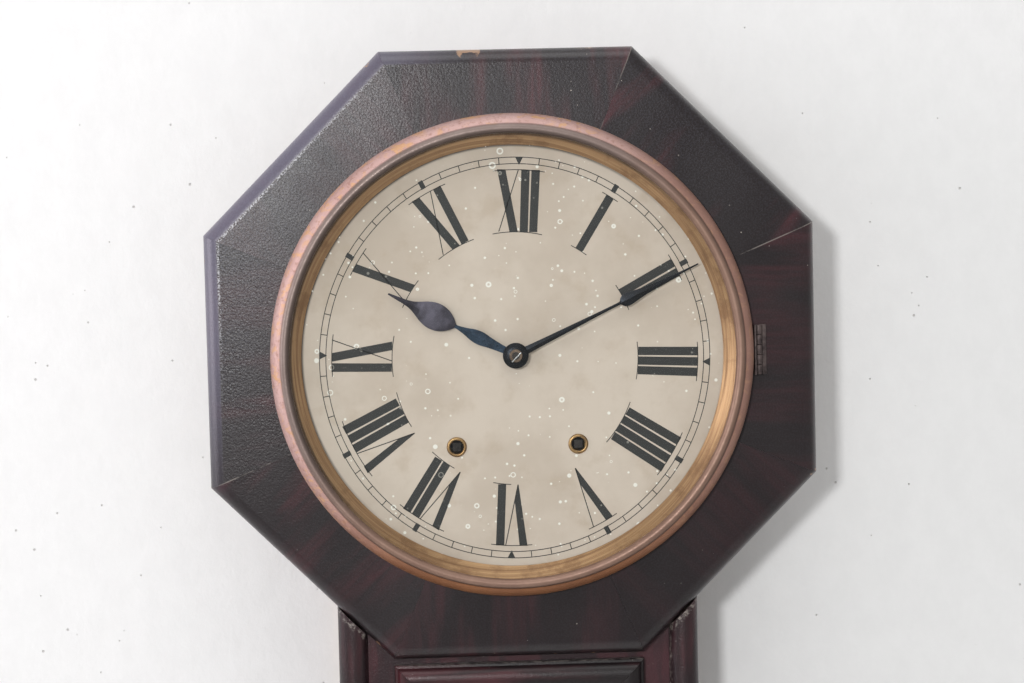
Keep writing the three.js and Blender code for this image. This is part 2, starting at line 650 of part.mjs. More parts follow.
const COCK_HALF = 7;
const COCK_NEAR = ROD_DEPTH - 5;
const STRIP_HALF = 0.3;
const STRIP_ROOM = 0.95;
const backHoles = [
  ...stoutPivots.map((at) => round(at, PLATE_HOLES.arbor)),
  ...finePivots.map((at) => round(at, PLATE_HOLES.fine)),
  round(CENTRE, PLATE_HOLES.arbor), round(VERGE, PLATE_HOLES.verge),
  round(TIME_GREAT, 2 + RUN), round(STRIKE_GREAT, 2 + RUN),
];
let backPlate = solid(slab(
  plateOutline(PLATE_HALF + 4, PLATE_TOP + 8, PLATE_BOTTOM), BACK_PLATE, INNER_BACK, backHoles,
));
const LUGS = [20, -70];
for (const z of LUGS) {
  for (const side of [-1, 1]) {
    const [x0, x1] = side > 0 ? [PLATE_HALF, LUG_HALF] : [-LUG_HALF, -PLATE_HALF];
    backPlate = backPlate.add(solid(box(x0, x1, BACK_PLATE, INNER_BACK, z - 6, z + 6)));
  }
}
backPlate = backPlate
  .add(solid(box(-COCK_HALF, COCK_HALF, COCK_NEAR, BACK_PLATE + 0.5, SWING_Z + 3, SWING_Z + 10)))
  .subtract(solid(box(-STRIP_HALF - STRIP_ROOM, STRIP_HALF + STRIP_ROOM, COCK_NEAR - 1, ROD_DEPTH + 4,
    SWING_Z + 2, SWING_Z + 11)));
place(clock, 'back_plate', surface(backPlate), brass);

for (const [name, side] of [['left', -1], ['right', 1]]) {
  const [inner, outer] = [LUG_HALF - BLOCK_WIDTH, LUG_HALF];
  const [x0, x1] = side > 0 ? [inner, outer] : [-outer, -inner];
  place(clock, `movement_block_${name}`, box(
    x0, x1, wallNear, BACK_PLATE - FIT, LUGS[1] - 12, LUGS[0] + 12,
  ), deal);
}

// Mainsprings: open coils, the inner end at the arbor and the outer end at a pillar
const WIND_ARBOR_R = 4;
const SPRING_OUT = 25;
const SPRING_TURNS = 5;
const SPRING_HALF = 0.35;

// The least space between the turns of a flat coil, measured between the points of its middle line
function turnSpace(middle, perTurn, wire) {
  let least = Infinity;
  for (let i = 0; i < middle.length; i += 1) {
    for (let j = i + Math.round(perTurn * 0.6); j < middle.length; j += 1) {
      least = Math.min(least, Math.hypot(middle[i][0] - middle[j][0], middle[i][1] - middle[j][1]));
    }
  }
  return (least - wire).toFixed(2);
}

function mainspring(at, side) {
  const [inner, outer, turns, half] = [WIND_ARBOR_R + 0.8, SPRING_OUT, SPRING_TURNS, SPRING_HALF];
  const perTurn = 15;
  const steps = turns * perTurn;
  const pillar = [side * SPRING_PILLAR[0], SPRING_PILLAR[1]];
  const end = Math.atan2(pillar[1] - at[1], side * (pillar[0] - at[0]));
  const spiral = Array.from({ length: steps + 1 }, (_, i) => {
    const share = i / steps;
    const angle = end - (1 - share) * turns * 2 * Math.PI - 0.5;
    const r = inner + (outer - inner) * share;
    return [side * r * Math.cos(angle) + at[0], r * Math.sin(angle) + at[1], angle];
  });
  console.log(`mainspring: least space between turns ${turnSpace(spiral, perTurn, 2 * half)} mm`);
  const left = [];
  const right = [];
  spiral.forEach(([x, z, angle]) => {
    const [nx, nz] = [side * Math.cos(angle), Math.sin(angle)];
    left.push([x + half * nx, z + half * nz]);
    right.push([x - half * nx, z - half * nz]);
  });
  const [lastX, lastZ] = spiral[steps];
  const toPillar = Math.hypot(pillar[0] - lastX, pillar[1] - lastZ);
  const [dx, dz] = [(pillar[0] - lastX) / toPillar, (pillar[1] - lastZ) / toPillar];
  const stop = toPillar - PILLAR_R - FIT - 0.2;
  const tip = [lastX + dx * stop, lastZ + dz * stop];
  left.push([tip[0] + side * dz * half, tip[1] - side * dx * half]);
  right.push([tip[0] - side * dz * half, tip[1] + side * dx * half]);
  return slab([...left, ...right.reverse()], SPRING_NEAR, SPRING_FAR);
}
place(clock, 'mainspring_time', mainspring(TIME_GREAT, 1), steel);
place(clock, 'mainspring_strike', mainspring(STRIKE_GREAT, -1), steel);

// Great wheels turn freely on the winding arbors; each carries its click
const RATCHET_R = 9;
const clickOutline = (at, side) => [
  [at[0] + side * 12, at[1] - 9], [at[0] + side * 15, at[1] - 7], [at[0] + side * 10.4, at[1] + 1],
  [at[0] + side * 9.6, at[1] + 0.4],
];
function greatWheel(plan, turn, at, side) {
  const disc = wheel(plan, turn, at, GREAT_NEAR, GREAT_FAR, WIND_ARBOR_R + RUN);
  const click = slab(clickOutline(at, side), GREAT_FAR - 0.5, GREAT_FAR + 2.2);
  return joined(disc, click);
}
place(clock, 'great_wheel_time', greatWheel(mesh.timeGreat, phase.timeGreat, TIME_GREAT, 1), brass);
const COUNT_R = 24;
const countNotches = [0, 6, 13, 21, 30, 40, 51];
const countOutline = ringOf(COUNT_R, 72).map(([x, z], i) => {
  const notch = countNotches.includes(i) ? 0.88 : 1;
  return [x * notch + STRIKE_GREAT[0], z * notch + STRIKE_GREAT[1]];
});
const countNear = GREAT_NEAR - 3;
place(clock, 'great_wheel_strike', joined(
  greatWheel(mesh.strikeGreat, phase.strikeGreat, STRIKE_GREAT, -1),
  slab(countOutline, countNear, countNear + 1, [round(STRIKE_GREAT, WIND_ARBOR_R + RUN, 16)]),
  slab(round(STRIKE_GREAT, 9, 16), countNear + 0.5, GREAT_NEAR + 0.5,
    [round(STRIKE_GREAT, WIND_ARBOR_R + RUN, 16)]),
), brass);

function ratchetOutline(at) {
  const teeth = 14;
  const points = [];
  for (let i = 0; i < teeth; i += 1) {
    const angle = (i * 2 * Math.PI) / teeth;
    points.push([RATCHET_R * Math.cos(angle), RATCHET_R * Math.sin(angle)]);
    points.push([(RATCHET_R - 2) * Math.cos(angle + 0.02), (RATCHET_R - 2) * Math.sin(angle + 0.02)]);
  }
  return moved(points, ...at);
}
const SQUARE_HALF = 2.4;
function windingArbor(at) {
  const body = turned([
    [0, BACK_PLATE], [2, BACK_PLATE], [2, INNER_BACK + FIT], [WIND_ARBOR_R, INNER_BACK + FIT],
    [WIND_ARBOR_R, PLATE_FRONT + 1], [0, PLATE_FRONT + 1],
  ], 16, ...at);
  const square = box(
    at[0] - SQUARE_HALF, at[0] + SQUARE_HALF, PLATE_FRONT, DIAL_FRONT - 0.5,
    at[1] - SQUARE_HALF, at[1] + SQUARE_HALF,
  );
  const ratchet = slab(ratchetOutline(at), GREAT_FAR + FIT, GREAT_FAR + 2.4);
  return joined(body, square, ratchet);
}
place(clock, 'winding_arbor_time', windingArbor(TIME_GREAT), steel);
place(clock, 'winding_arbor_strike', windingArbor(STRIKE_GREAT), steel);

const PINION_LONG = 5;
place(clock, 'second_wheel', joined(
  arbor(SECOND), wheel(mesh.secondPinion, phase.secondPinion, SECOND, GREAT_NEAR - 1, GREAT_NEAR + 4),
  wheel(mesh.second, phase.second, SECOND, FAST_NEAR, FAST_NEAR + 1.4),
), brass);

const CANNON_NEAR = PLATE_FRONT + 1;
const HOUR_WHEEL_NEAR = CANNON_NEAR + 3.6;
const HOUR_HAND_NEAR = DIAL_FRONT + 2;
const MINUTE_HAND_NEAR = HOUR_HAND_NEAR + HAND_THICK + 2;
const CANNON_R = 3;
const HAND_ARBOR_R = 2.3;
const arborFar = glassBack - 1.2;
place(clock, 'centre_arbor', joined(
  turned([
    [0, BACK_PLATE], [PIVOT_R, BACK_PLATE], [PIVOT_R, INNER_BACK + FIT], [2, INNER_BACK + FIT],
    [2, FRONT_PLATE - FIT], [2.6, FRONT_PLATE - FIT], [2.6, CANNON_NEAR], [CANNON_R, CANNON_NEAR],
    [CANNON_R, MINUTE_HAND_NEAR - FIT], [HAND_ARBOR_R, MINUTE_HAND_NEAR - FIT], [HAND_ARBOR_R, arborFar],
    [0, arborFar],
  ], 16),
  wheel(mesh.centre, phase.centre, CENTRE, CENTRE_NEAR, CENTRE_NEAR + 1.2),
  wheel(mesh.centrePinion, phase.centrePinion, CENTRE, FAST_NEAR - 1, FRONT_PLATE - FIT),
  wheel(mesh.cannon, phase.cannon, CENTRE, CANNON_NEAR, CANNON_NEAR + 3),
), brass);

place(clock, 'third_wheel', joined(
  fineArbor(THIRD),
  wheel(mesh.thirdPinion, phase.thirdPinion, THIRD, CENTRE_NEAR - 2, CENTRE_NEAR - 2 + PINION_LONG),
  wheel(mesh.third, phase.third, THIRD, THIRD_NEAR, THIRD_NEAR + 1),
), brass);

// Escape wheel with hooked teeth, crossed out by four windows
const ESCAPE_R = 13;
function escapeOutline() {
  const teeth = 36;
  const points = [];
  for (let i = 0; i < teeth; i += 1) {
    const angle = (i * 2 * Math.PI) / teeth;
    points.push([ESCAPE_R * Math.cos(angle), ESCAPE_R * Math.sin(angle)]);
    points.push([(ESCAPE_R - 2.2) * Math.cos(angle + 0.07), (ESCAPE_R - 2.2) * Math.sin(angle + 0.07)]);
  }
  return moved(points, ...ESCAPE);
}
const windows = Array.from({ length: 4 }, (_, i) => round(from(ESCAPE, 6, 45 + 90 * i), 3.4, 10));
place(clock, 'escape_wheel', joined(
  fineArbor(ESCAPE), slab(escapeOutline(), ESCAPE_NEAR, ESCAPE_NEAR + 0.8, windows),
  wheel(mesh.escapePinion, phase.escapePinion, ESCAPE, THIRD_NEAR - 1.5, THIRD_NEAR + 3),
), brass);

// Verge: anchor over the escape wheel, and the crutch behind the back plate that drives the rod
const VERGE_R = 1.4;
const CRUTCH_NEAR = ROD_DEPTH + 4;
const CRUTCH_FOOT = -2;
const palletReach = ESCAPE_R + 1.4;
const anchorSide = (side) => {
  const tip = [side * palletReach * 0.85, ESCAPE[1] + palletReach * 0.527];
  return [
    [0, SWING_Z + 2.6], [side * 6, SWING_Z + 0.6], [tip[0] + side * 2, tip[1] + 3], tip,
    [tip[0] - side * 0.6, tip[1] + 3], [side * 4, SWING_Z - 2.6], [0, SWING_Z - 2.4],
  ];
};
const forkInner = ROD_R + RUN;
place(clock, 'verge', joined(
  turned([
    [0, CRUTCH_NEAR], [VERGE_R, CRUTCH_NEAR], [VERGE_R, FRONT_PLATE - FIT], [PIVOT_R, FRONT_PLATE - FIT],
    [PIVOT_R, PLATE_FRONT], [0, PLATE_FRONT],
  ], 10, ...VERGE),
  slab(anchorSide(-1), ESCAPE_NEAR - 1, ESCAPE_NEAR + 2),
  slab(anchorSide(1), ESCAPE_NEAR - 1, ESCAPE_NEAR + 2),
  box(-1, 1, CRUTCH_NEAR, CRUTCH_NEAR + 1.5, CRUTCH_FOOT, SWING_Z),
  box(-forkInner - 1.2, forkInner + 1.2, CRUTCH_NEAR, CRUTCH_NEAR + 1.5, CRUTCH_FOOT - 2, CRUTCH_FOOT + 1),
  box(-forkInner - 1.2, -forkInner, ROD_DEPTH - 3, CRUTCH_NEAR + 1, CRUTCH_FOOT - 2, CRUTCH_FOOT + 1),
  box(forkInner, forkInner + 1.2, ROD_DEPTH - 3, CRUTCH_NEAR + 1, CRUTCH_FOOT - 2, CRUTCH_FOOT + 1),
), steel);

// Pendulum: suspension strip and rod, lens bob, rating nut
const NUT_TOP = BOB_Z - BOB_R - FIT;
const ROD_FOOT = NUT_TOP - NUT_HIGH - 10;
const upright = (r, z0, z1, sides = 10) => new THREE.CylinderGeometry(r, r, z1 - z0, sides)
  .rotateX(Math.PI / 2).translate(0, -ROD_DEPTH, (z0 + z1) / 2);
place(clock, 'pendulum_rod', joined(
  upright(ROD_R, ROD_FOOT, SWING_Z - 14),
  box(-STRIP_HALF, STRIP_HALF, ROD_DEPTH - 2.5, ROD_DEPTH + 2.5, SWING_Z - 16, SWING_Z + 9),
  box(-3, 3, ROD_DEPTH - 2.5, ROD_DEPTH + 2.5, SWING_Z + 10 + FIT, SWING_Z + 12),
  box(-STRIP_HALF, STRIP_HALF, ROD_DEPTH - 2.5, ROD_DEPTH + 2.5, SWING_Z + 8, SWING_Z + 11),
), steel);
const lens = turned([
  [0, ROD_DEPTH - BOB_THICK / 2], [BOB_R * 0.5, ROD_DEPTH - BOB_THICK * 0.42],
  [BOB_R * 0.85, ROD_DEPTH - BOB_THICK * 0.22], [BOB_R, ROD_DEPTH - 0.8], [BOB_R, ROD_DEPTH + 0.8],
  [BOB_R * 0.85, ROD_DEPTH + BOB_THICK * 0.22], [BOB_R * 0.5, ROD_DEPTH + BOB_THICK * 0.42],
  [0, ROD_DEPTH + BOB_THICK / 2],
], 40, 0, BOB_Z);
const bobBore = upright(ROD_R + RUN, BOB_Z - BOB_R - 5, BOB_Z + BOB_R + 5);
place(clock, 'pendulum_bob', without(lens, bobBore), brass);
place(clock, 'rating_nut', without(
  upright(NUT_R, NUT_TOP - NUT_HIGH, NUT_TOP, 16), upright(ROD_R + RUN, NUT_TOP - NUT_HIGH - 2, NUT_TOP + 2),
), brass);

// Motion work
place(clock, 'minute_wheel', joined(
  wheel(mesh.minute, phase.minute, MINUTE, CANNON_NEAR + 0.6, CANNON_NEAR + 1.6, STUD_R + RUN),
  wheel(mesh.minutePinion, phase.minutePinion, MINUTE, CANNON_NEAR + 1.2, studFar - 0.6, STUD_R + RUN),
), brass);
const HOUR_BORE_R = CANNON_R + RUN;
place(clock, 'hour_wheel', joined(
  wheel(mesh.hour, phase.hour, CENTRE, HOUR_WHEEL_NEAR, HOUR_WHEEL_NEAR + 1.2, HOUR_BORE_R),
  slab(ringOf(HOUR_PIPE_R, 24), HOUR_WHEEL_NEAR, HOUR_HAND_NEAR + HAND_THICK + 0.6, [
    ringOf(HOUR_BORE_R, 16),
  ]),
), brass);

// Hands: outlines drawn pointing up, half of each as [half width, distance], drawn out to the length and
// turned to ten past ten
function hand(drawn, length, hub, bore, near, degrees) {
  const stretch = length / drawn[drawn.length - 1][1];
  const half = drawn.map(([w, along], i) => [w, i ? along * stretch : along]);
  const start = Math.asin(half[0][0] / hub);
  const steps = 14;
  const arc = Array.from({ length: steps + 1 }, (_, i) => {
    const angle = start + (i * (2 * Math.PI - 2 * start)) / steps;
    return [hub * Math.sin(angle), hub * Math.cos(angle)];
  });
  const right = half.slice().reverse();
  const left = half.map(([w, along]) => [-w, along]);
  const outline = [...right, ...arc.slice(1, -1), ...left];
  return slab(outline, near, near + HAND_THICK, [ringOf(bore, 16)])
    .rotateY(THREE.MathUtils.degToRad(degrees));
}
const HOUR_HALF = [
  [1.6, 7.2], [2.6, 14], [3.6, 22], [3.3, 28], [1.9, 35], [1, 39.6], [1.6, 41], [4.6, 44.2], [7, 48.6],
  [8, 52.6], [7.4, 57], [5.2, 62], [2.4, 68], [1.3, 72], [0.8, 78], [0.5, 86],
];
const MINUTE_HALF = [
  [2.1, 7], [1.7, 20], [1.1, 45], [0.8, 68.6], [1.4, 69.4], [3.4, 71.6], [3.8, 74.2], [3, 78],
  [1.9, 87], [1.1, 98], [0.6, 110], [0.4, 122],
];
place(clock, 'hour_hand', hand(
  HOUR_HALF, HOUR_LENGTH, 7.4, HOUR_PIPE_R + FIT, HOUR_HAND_NEAR, HOUR_ANGLE,
), blued);
place(clock, 'minute_hand', hand(
  MINUTE_HALF, MINUTE_LENGTH, 7.3, HAND_ARBOR_R + FIT, MINUTE_HAND_NEAR, MINUTE_ANGLE,
), blued);
const washerNear = MINUTE_HAND_NEAR + HAND_THICK + FIT;
const washerBore = HAND_ARBOR_R + FIT;
place(clock, 'hand_washer', turned([
  [washerBore, washerNear], [WASHER_R, washerNear], [WASHER_R - 0.3, washerNear + 0.7],
  [WASHER_R - 2, washerNear + 1.4], [washerBore, washerNear + 1.8], [washerBore, washerNear],
], 28), blued);

// Strike train
const pins = Array.from({ length: 13 }, (_, i) => round(from(PIN, 13.5, (i * 360) / 13), 0.7, 6));
place(clock, 'pin_wheel', joined(
  arbor(PIN), wheel(mesh.pinPinion, phase.pinPinion, PIN, GREAT_NEAR - 1, GREAT_NEAR + 4),
  wheel(mesh.pin, phase.pin, PIN, FAST_NEAR + 0.6, FAST_NEAR + 1.8),
  ...pins.map((outline) => slab(outline, FAST_NEAR - 1.6, FAST_NEAR + 1)),
), brass);
place(clock, 'warning_wheel', joined(
  fineArbor(WARN), wheel(mesh.warnPinion, phase.warnPinion, WARN, FAST_NEAR - 0.4, FRONT_PLATE - FIT),
  wheel(mesh.warn, phase.warn, WARN, WARN_NEAR, WARN_NEAR + 1),
), brass);
const FLY_R = 8;
place(clock, 'fly', joined(
  fineArbor(FLY),
  wheel(mesh.flyPinion, phase.flyPinion, FLY, WARN_NEAR - 1.5, WARN_NEAR + 2.5),
  box(FLY[0] - FLY_R, FLY[0] + FLY_R, INNER_BACK + 3, INNER_BACK + 17, FLY[1] - 0.3, FLY[1] + 0.3),
), brass);

// Hammer: arbor between the plates, wire down behind the back plate's lower edge, head beside the gong
const HEAD_AT = [GONG_X + GONG_OUT + GONG_WIRE / 2 + 3 + 0.8, GONG_Z + 12];
const HAMMER_NEAR = GONG_DEPTH - 2;
const hammerArm = (() => {
  const [dx, dz] = [HEAD_AT[0] - HAMMER[0], HEAD_AT[1] - HAMMER[1]];
  const long = Math.hypot(dx, dz);
  const [nx, nz] = [(-dz / long) * 0.8, (dx / long) * 0.8];
  return [
    [HAMMER[0] + nx, HAMMER[1] + nz], [HAMMER[0] - nx, HAMMER[1] - nz],
    [HEAD_AT[0] - nx, HEAD_AT[1] - nz], [HEAD_AT[0] + nx, HEAD_AT[1] + nz],
  ];
})();
place(clock, 'hammer', joined(
  turned([
    [0, HAMMER_NEAR], [PIVOT_R, HAMMER_NEAR], [PIVOT_R, INNER_BACK + FIT], [ARBOR_R, INNER_BACK + FIT],
    [ARBOR_R, FRONT_PLATE - FIT], [PIVOT_R, FRONT_PLATE - FIT], [PIVOT_R, PLATE_FRONT], [0, PLATE_FRONT],
  ], 10, ...HAMMER),
  slab(hammerArm, HAMMER_NEAR, HAMMER_NEAR + 1.6),
  turned([[0, HAMMER_NEAR], [3, HAMMER_NEAR], [3, HAMMER_NEAR + 5], [0, HAMMER_NEAR + 5]], 12, ...HEAD_AT),
), steel);

// Gong: a flat spiral of wire with its inner end at the post of an iron base on the backboard
function gongCoil() {
  const perTurn = 18;
  const steps = Math.round(GONG_TURNS * perTurn);
  const sides = 5;
  const r = GONG_WIRE / 2;
  const middle = [];
  const places = [];
  for (let i = 0; i <= steps; i += 1) {
    const share = i / steps;
    const angle = share * GONG_TURNS * 2 * Math.PI;
    const reach = GONG_IN + (GONG_OUT - GONG_IN) * share;
    middle.push([reach * Math.cos(angle), reach * Math.sin(angle)]);
    for (let k = 0; k < sides; k += 1) {
      const around = (k * 2 * Math.PI) / sides;
      const out = reach + r * Math.cos(around);
      places.push(
        GONG_X + out * Math.cos(angle), -GONG_DEPTH + r * Math.sin(around), GONG_Z + out * Math.sin(angle),
      );
    }
  }
  console.log(`gong: least space between turns ${turnSpace(middle, perTurn, GONG_WIRE)} mm`);
  const index = [];
  for (let i = 0; i < steps; i += 1) {
    for (let k = 0; k < sides; k += 1) {
      const [a, b] = [i * sides + k, i * sides + ((k + 1) % sides)];
      const [c, d] = [a + sides, b + sides];
      index.push(a, b, d, a, d, c);
    }
  }
  for (let k = 1; k < sides - 1; k += 1) {
    index.push(0, k + 1, k);
    const last = steps * sides;
    index.push(last, last + k, last + k + 1);
  }
  const out = new THREE.BufferGeometry();
  out.setAttribute('position', new THREE.Float32BufferAttribute(places, 3));
  out.setIndex(index);
  return out;
}
place(clock, 'gong_coil', gongCoil(), blued);
place(clock, 'gong_base', turned([
  [0, wallNear], [15, wallNear], [14, wallNear + 3], [GONG_IN - GONG_WIRE / 2 - FIT - 0.4, wallNear + 6],
  [GONG_IN - GONG_WIRE / 2 - FIT, GONG_DEPTH + 2], [0, GONG_DEPTH + 2.5],
], 24, GONG_X, GONG_Z), iron);

export default clock;
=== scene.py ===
# %% [markdown]
# # An eight-sided wall clock, dressed for the camera
#
# The clock hangs on a white wall: an octagonal head in dark veneer, a coppery bezel with its glass, a
# printed dial with blued hands, and a short drop with a glazed door. Its solids come from the packed
# model, already in metres and in place. This script gives the seen pieces their fine shapes and gives
# every piece its finish.

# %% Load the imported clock
import math

import bmesh
import bpy
from mathutils import Matrix, Vector


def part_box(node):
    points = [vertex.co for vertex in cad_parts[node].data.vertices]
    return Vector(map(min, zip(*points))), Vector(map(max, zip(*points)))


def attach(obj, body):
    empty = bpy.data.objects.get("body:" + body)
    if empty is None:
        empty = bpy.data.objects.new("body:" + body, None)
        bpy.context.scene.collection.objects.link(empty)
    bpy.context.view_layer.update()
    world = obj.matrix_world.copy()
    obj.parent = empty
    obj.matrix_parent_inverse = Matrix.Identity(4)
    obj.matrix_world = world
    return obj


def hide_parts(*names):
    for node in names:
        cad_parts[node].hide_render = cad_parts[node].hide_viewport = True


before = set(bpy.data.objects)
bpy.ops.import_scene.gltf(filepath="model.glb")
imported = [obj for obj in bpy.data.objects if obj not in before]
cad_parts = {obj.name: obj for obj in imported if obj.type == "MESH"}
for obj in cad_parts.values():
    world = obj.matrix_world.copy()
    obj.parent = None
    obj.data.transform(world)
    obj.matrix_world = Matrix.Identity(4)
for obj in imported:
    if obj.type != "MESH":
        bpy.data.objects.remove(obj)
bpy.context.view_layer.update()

# %% [markdown]
# ## Places in millimetres
#
# A clockmaker thinks in millimetres: so far to the right of the hands, so deep in front of the wall, so
# high. One small function turns such a place into Blender's metres, and every piece uses it. The case
# hangs a little to the left of the hand arbor, so it has a centre of its own.

# %% A place on the clock
MM = 0.001
CASE_X = -1.5
CASE_Z = -0.5


def at(x, depth, z):
    """A place: x to the right and z up from the hands, depth out from the wall, in millimetres."""
    return Vector((x * MM, -depth * MM, z * MM))


def on_case(x, depth, z):
    """The same, measured from the middle of the octagon."""
    return at(x + CASE_X, depth, z + CASE_Z)


CASE_MIDDLE = on_case(0, 0, 0)
FRONT = Vector((0, -1, 0))
TURN_AXIS = Vector((0, 1, 0))
print("middle of the octagon:", [round(v, 4) for v in CASE_MIDDLE])

# %% [markdown]
# ## Camera
#
# The photograph was taken nearly straight on from about a metre and a half, from a little above and to
# the left, with the camera held slightly crooked, so the clock leans in it. The picture cuts the drop
# off below the head. The camera is turned by the same small angles: about Z, then X, then round its
# own line of sight.

# %% Camera
PHOTO_WIDTH = 1024
FOCAL_PIXELS = 2528.6
SENSOR = 36.0
CAMERA_PLACE = (-0.0571, -1.6, 0.1110)
TURNED_ASIDE = math.radians(-2.126)
TIPPED_DOWN = math.radians(-4.031)
HELD_CROOKED = math.radians(1.345)
LEVEL = math.radians(90)
camera_data = bpy.data.cameras.new("photo_camera")
camera_data.sensor_width = SENSOR
camera_data.lens = FOCAL_PIXELS / PHOTO_WIDTH * SENSOR
camera_data.shift_x = -0.0009
camera_data.shift_y = 0.0049
camera = bpy.data.objects.new("photo_camera", camera_data)
bpy.context.scene.collection.objects.link(camera)
camera.matrix_world = (
    Matrix.Translation(CAMERA_PLACE)
    @ Matrix.Rotation(TURNED_ASIDE, 4, "Z")
    @ Matrix.Rotation(TIPPED_DOWN, 4, "X")
    @ Matrix.Rotation(HELD_CROOKED, 4, "Y")
    @ Matrix.Rotation(LEVEL, 4, "X")
)
bpy.context.scene.camera = camera
print("lens in millimetres:", round(camera_data.lens, 2))

# %% [markdown]
# ## Working with shader nodes
#
# A finish is a small network of nodes. A few helpers keep the cells short: one fills or connects a node's
# inputs, one adds a node, and the others do sums, blends and noises. Colours are written as a painter
# would mix them on a screen, from 0 to 255, and turned into the linear values that shaders want.

# %% Node helpers: colours, sums and noises
def tone(red, green, blue):
    """A screen colour as linear red, green, blue and alpha."""
    def linear(value):
        value = value / 255
        return value / 12.92 if value <= 0.04045 else ((value + 0.055) / 1.055) ** 2.4
    return (linear(red), linear(green), linear(blue), 1.0)


def fill(tree, node, inputs):
    """Connects or sets a node's inputs, by name or number."""
    for key, value in inputs.items():
        if isinstance(value, bpy.types.NodeSocket):
            tree.links.new(value, node.inputs[key])
        else:
            node.inputs[key].default_value = value


def put(tree, kind, inputs=None, **settings):
    """Adds a node, sets its options, and fills its inputs."""
    made = tree.nodes.new(kind)
    for key, value in settings.items():
        setattr(made, key, value)
    fill(tree, made, inputs or {})
    return made


def sums(tree, operation, *values):
    """A Math node's result."""
    return put(tree, "ShaderNodeMath", dict(enumerate(values)), operation=operation).outputs[0]


def times(tree, *values):
    """Two or more values multiplied."""
    product = values[0]
    for value in values[1:]:
        product = sums(tree, "MULTIPLY", product, value)
    return product


def between(tree, value, low, high, out_low=0.0, out_high=1.0):
    """A value stretched from one range to another, softly and within its ends."""
    return put(
        tree, "ShaderNodeMapRange",
        {"Value": value, "From Min": low, "From Max": high, "To Min": out_low, "To Max": out_high},
        interpolation_type="SMOOTHSTEP",
    ).outputs["Result"]


def blend(tree, share, first, second):
    """Two colours mixed by a share from 0 to 1."""
    mix = put(tree, "ShaderNodeMix", {"Factor": share, 6: first, 7: second}, data_type="RGBA")
    return mix.outputs[2]


def noise(tree, vector, scale, detail=3.0, roughness=0.55, distortion=0.0):
    """A soft random value all over a surface; the scale is in waves per metre."""
    return put(
        tree, "ShaderNodeTexNoise",
        {"Vector": vector, "Scale": scale, "Detail": detail, "Roughness": roughness,
         "Distortion": distortion},
    ).outputs["Fac"]


def stretched(tree, vector, scale=(1, 1, 1), turn=(0, 0, 0), shift=(0, 0, 0)):
    """The same places, scaled, turned or shifted for a pattern."""
    return put(
        tree, "ShaderNodeMapping",
        {"Vector": vector, "Scale": scale, "Rotation": turn, "Location": shift},
    ).outputs["Vector"]


print("a mid grey of 128 is", round(tone(128, 128, 128)[0], 3), "in linear light")

# %% [markdown]
# What several finishes share goes into a node group. A finish starts from a Principled shader, reads its
# places in metres, and ends with a relief, or with another shader in the first one's place.

# %% Node helpers: groups and materials
def new_group(name, inputs, outputs):
    """An empty node group with named sockets; returns the tree, its inputs and its outputs."""
    tree = bpy.data.node_groups.new(name, "ShaderNodeTree")
    for label, kind in inputs.items():
        tree.interface.new_socket(name=label, in_out="INPUT", socket_type=kind)
    for label, kind in outputs.items():
        tree.interface.new_socket(name=label, in_out="OUTPUT", socket_type=kind)
    return tree, tree.nodes.new("NodeGroupInput").outputs, tree.nodes.new("NodeGroupOutput").inputs


def use_group(tree, group, inputs):
    """Places a node group in a material and returns its outputs."""
    made = tree.nodes.new("ShaderNodeGroup")
    made.node_tree = group
    fill(tree, made, inputs)
    return made.outputs


def new_material(name):
    """An empty material; returns it, its tree and its Principled shader."""
    material = bpy.data.materials.new(name)
    material.use_nodes = True
    tree = material.node_tree
    return material, tree, tree.nodes["Principled BSDF"]


def here(tree):
    """Object coordinates, in metres."""
    return put(tree, "ShaderNodeTexCoord").outputs["Object"]


def bumped(tree, shader, height, distance):
    """Feeds a height to the shader's normal; the distance is the relief in metres."""
    bump = put(tree, "ShaderNodeBump", {"Height": height, "Distance": distance, "Strength": 1.0})
    tree.links.new(bump.outputs["Normal"], shader.inputs["Normal"])


def swapped(tree, shader, mask, other):
    """Shows another shader instead of the Principled one where a mask is 1."""
    mix = put(
        tree, "ShaderNodeMixShader", {0: mask, 1: shader.outputs["BSDF"], 2: other.outputs["BSDF"]},
    )
    output = next(node for node in tree.nodes if node.type == "OUTPUT_MATERIAL")
    tree.links.new(mix.outputs["Shader"], output.inputs["Surface"])


print("helpers ready for groups and materials")

# %% [markdown]
# ## Specks
#
# The dial is strewn with small white specks, some of them tiny rings, and dust lies on the wood. A
# Voronoi texture scatters points; near each chosen point the distance is small, so a threshold makes a
# dot, and a narrow band of distances makes a ring. The cell's own random colour picks which points count.
# It is one group, used for the dial, the dust and the nicks in the wall.

# %% Group: specks
speck_group, given, result = new_group(
    "specks",
    {"Vector": "NodeSocketVector", "Per Metre": "NodeSocketFloat", "Size": "NodeSocketFloat",
     "Share": "NodeSocketFloat", "Ring Share": "NodeSocketFloat"},
    {"Mask": "NodeSocketFloat"},
)
cells = put(
    speck_group, "ShaderNodeTexVoronoi", {"Vector": given["Vector"], "Scale": given["Per Metre"]},
)
pick = put(speck_group, "ShaderNodeSeparateColor", {"Color": cells.outputs["Color"]}).outputs
chosen = sums(speck_group, "LESS_THAN", pick[0], given["Share"])
ringed = sums(speck_group, "LESS_THAN", pick[1], given["Ring Share"])
reach = times(speck_group, given["Size"], sums(speck_group, "MULTIPLY_ADD", pick[2], 0.8, 0.5))
near = sums(speck_group, "DIVIDE", cells.outputs["Distance"], reach)
dot = between(speck_group, near, 1.0, 0.6)
ring = times(
    speck_group, between(speck_group, near, 1.9, 1.6), between(speck_group, near, 1.0, 1.3),
)
shape = sums(
    speck_group, "ADD", times(speck_group, dot, sums(speck_group, "SUBTRACT", 1.0, ringed)),
    times(speck_group, ring, ringed),
)
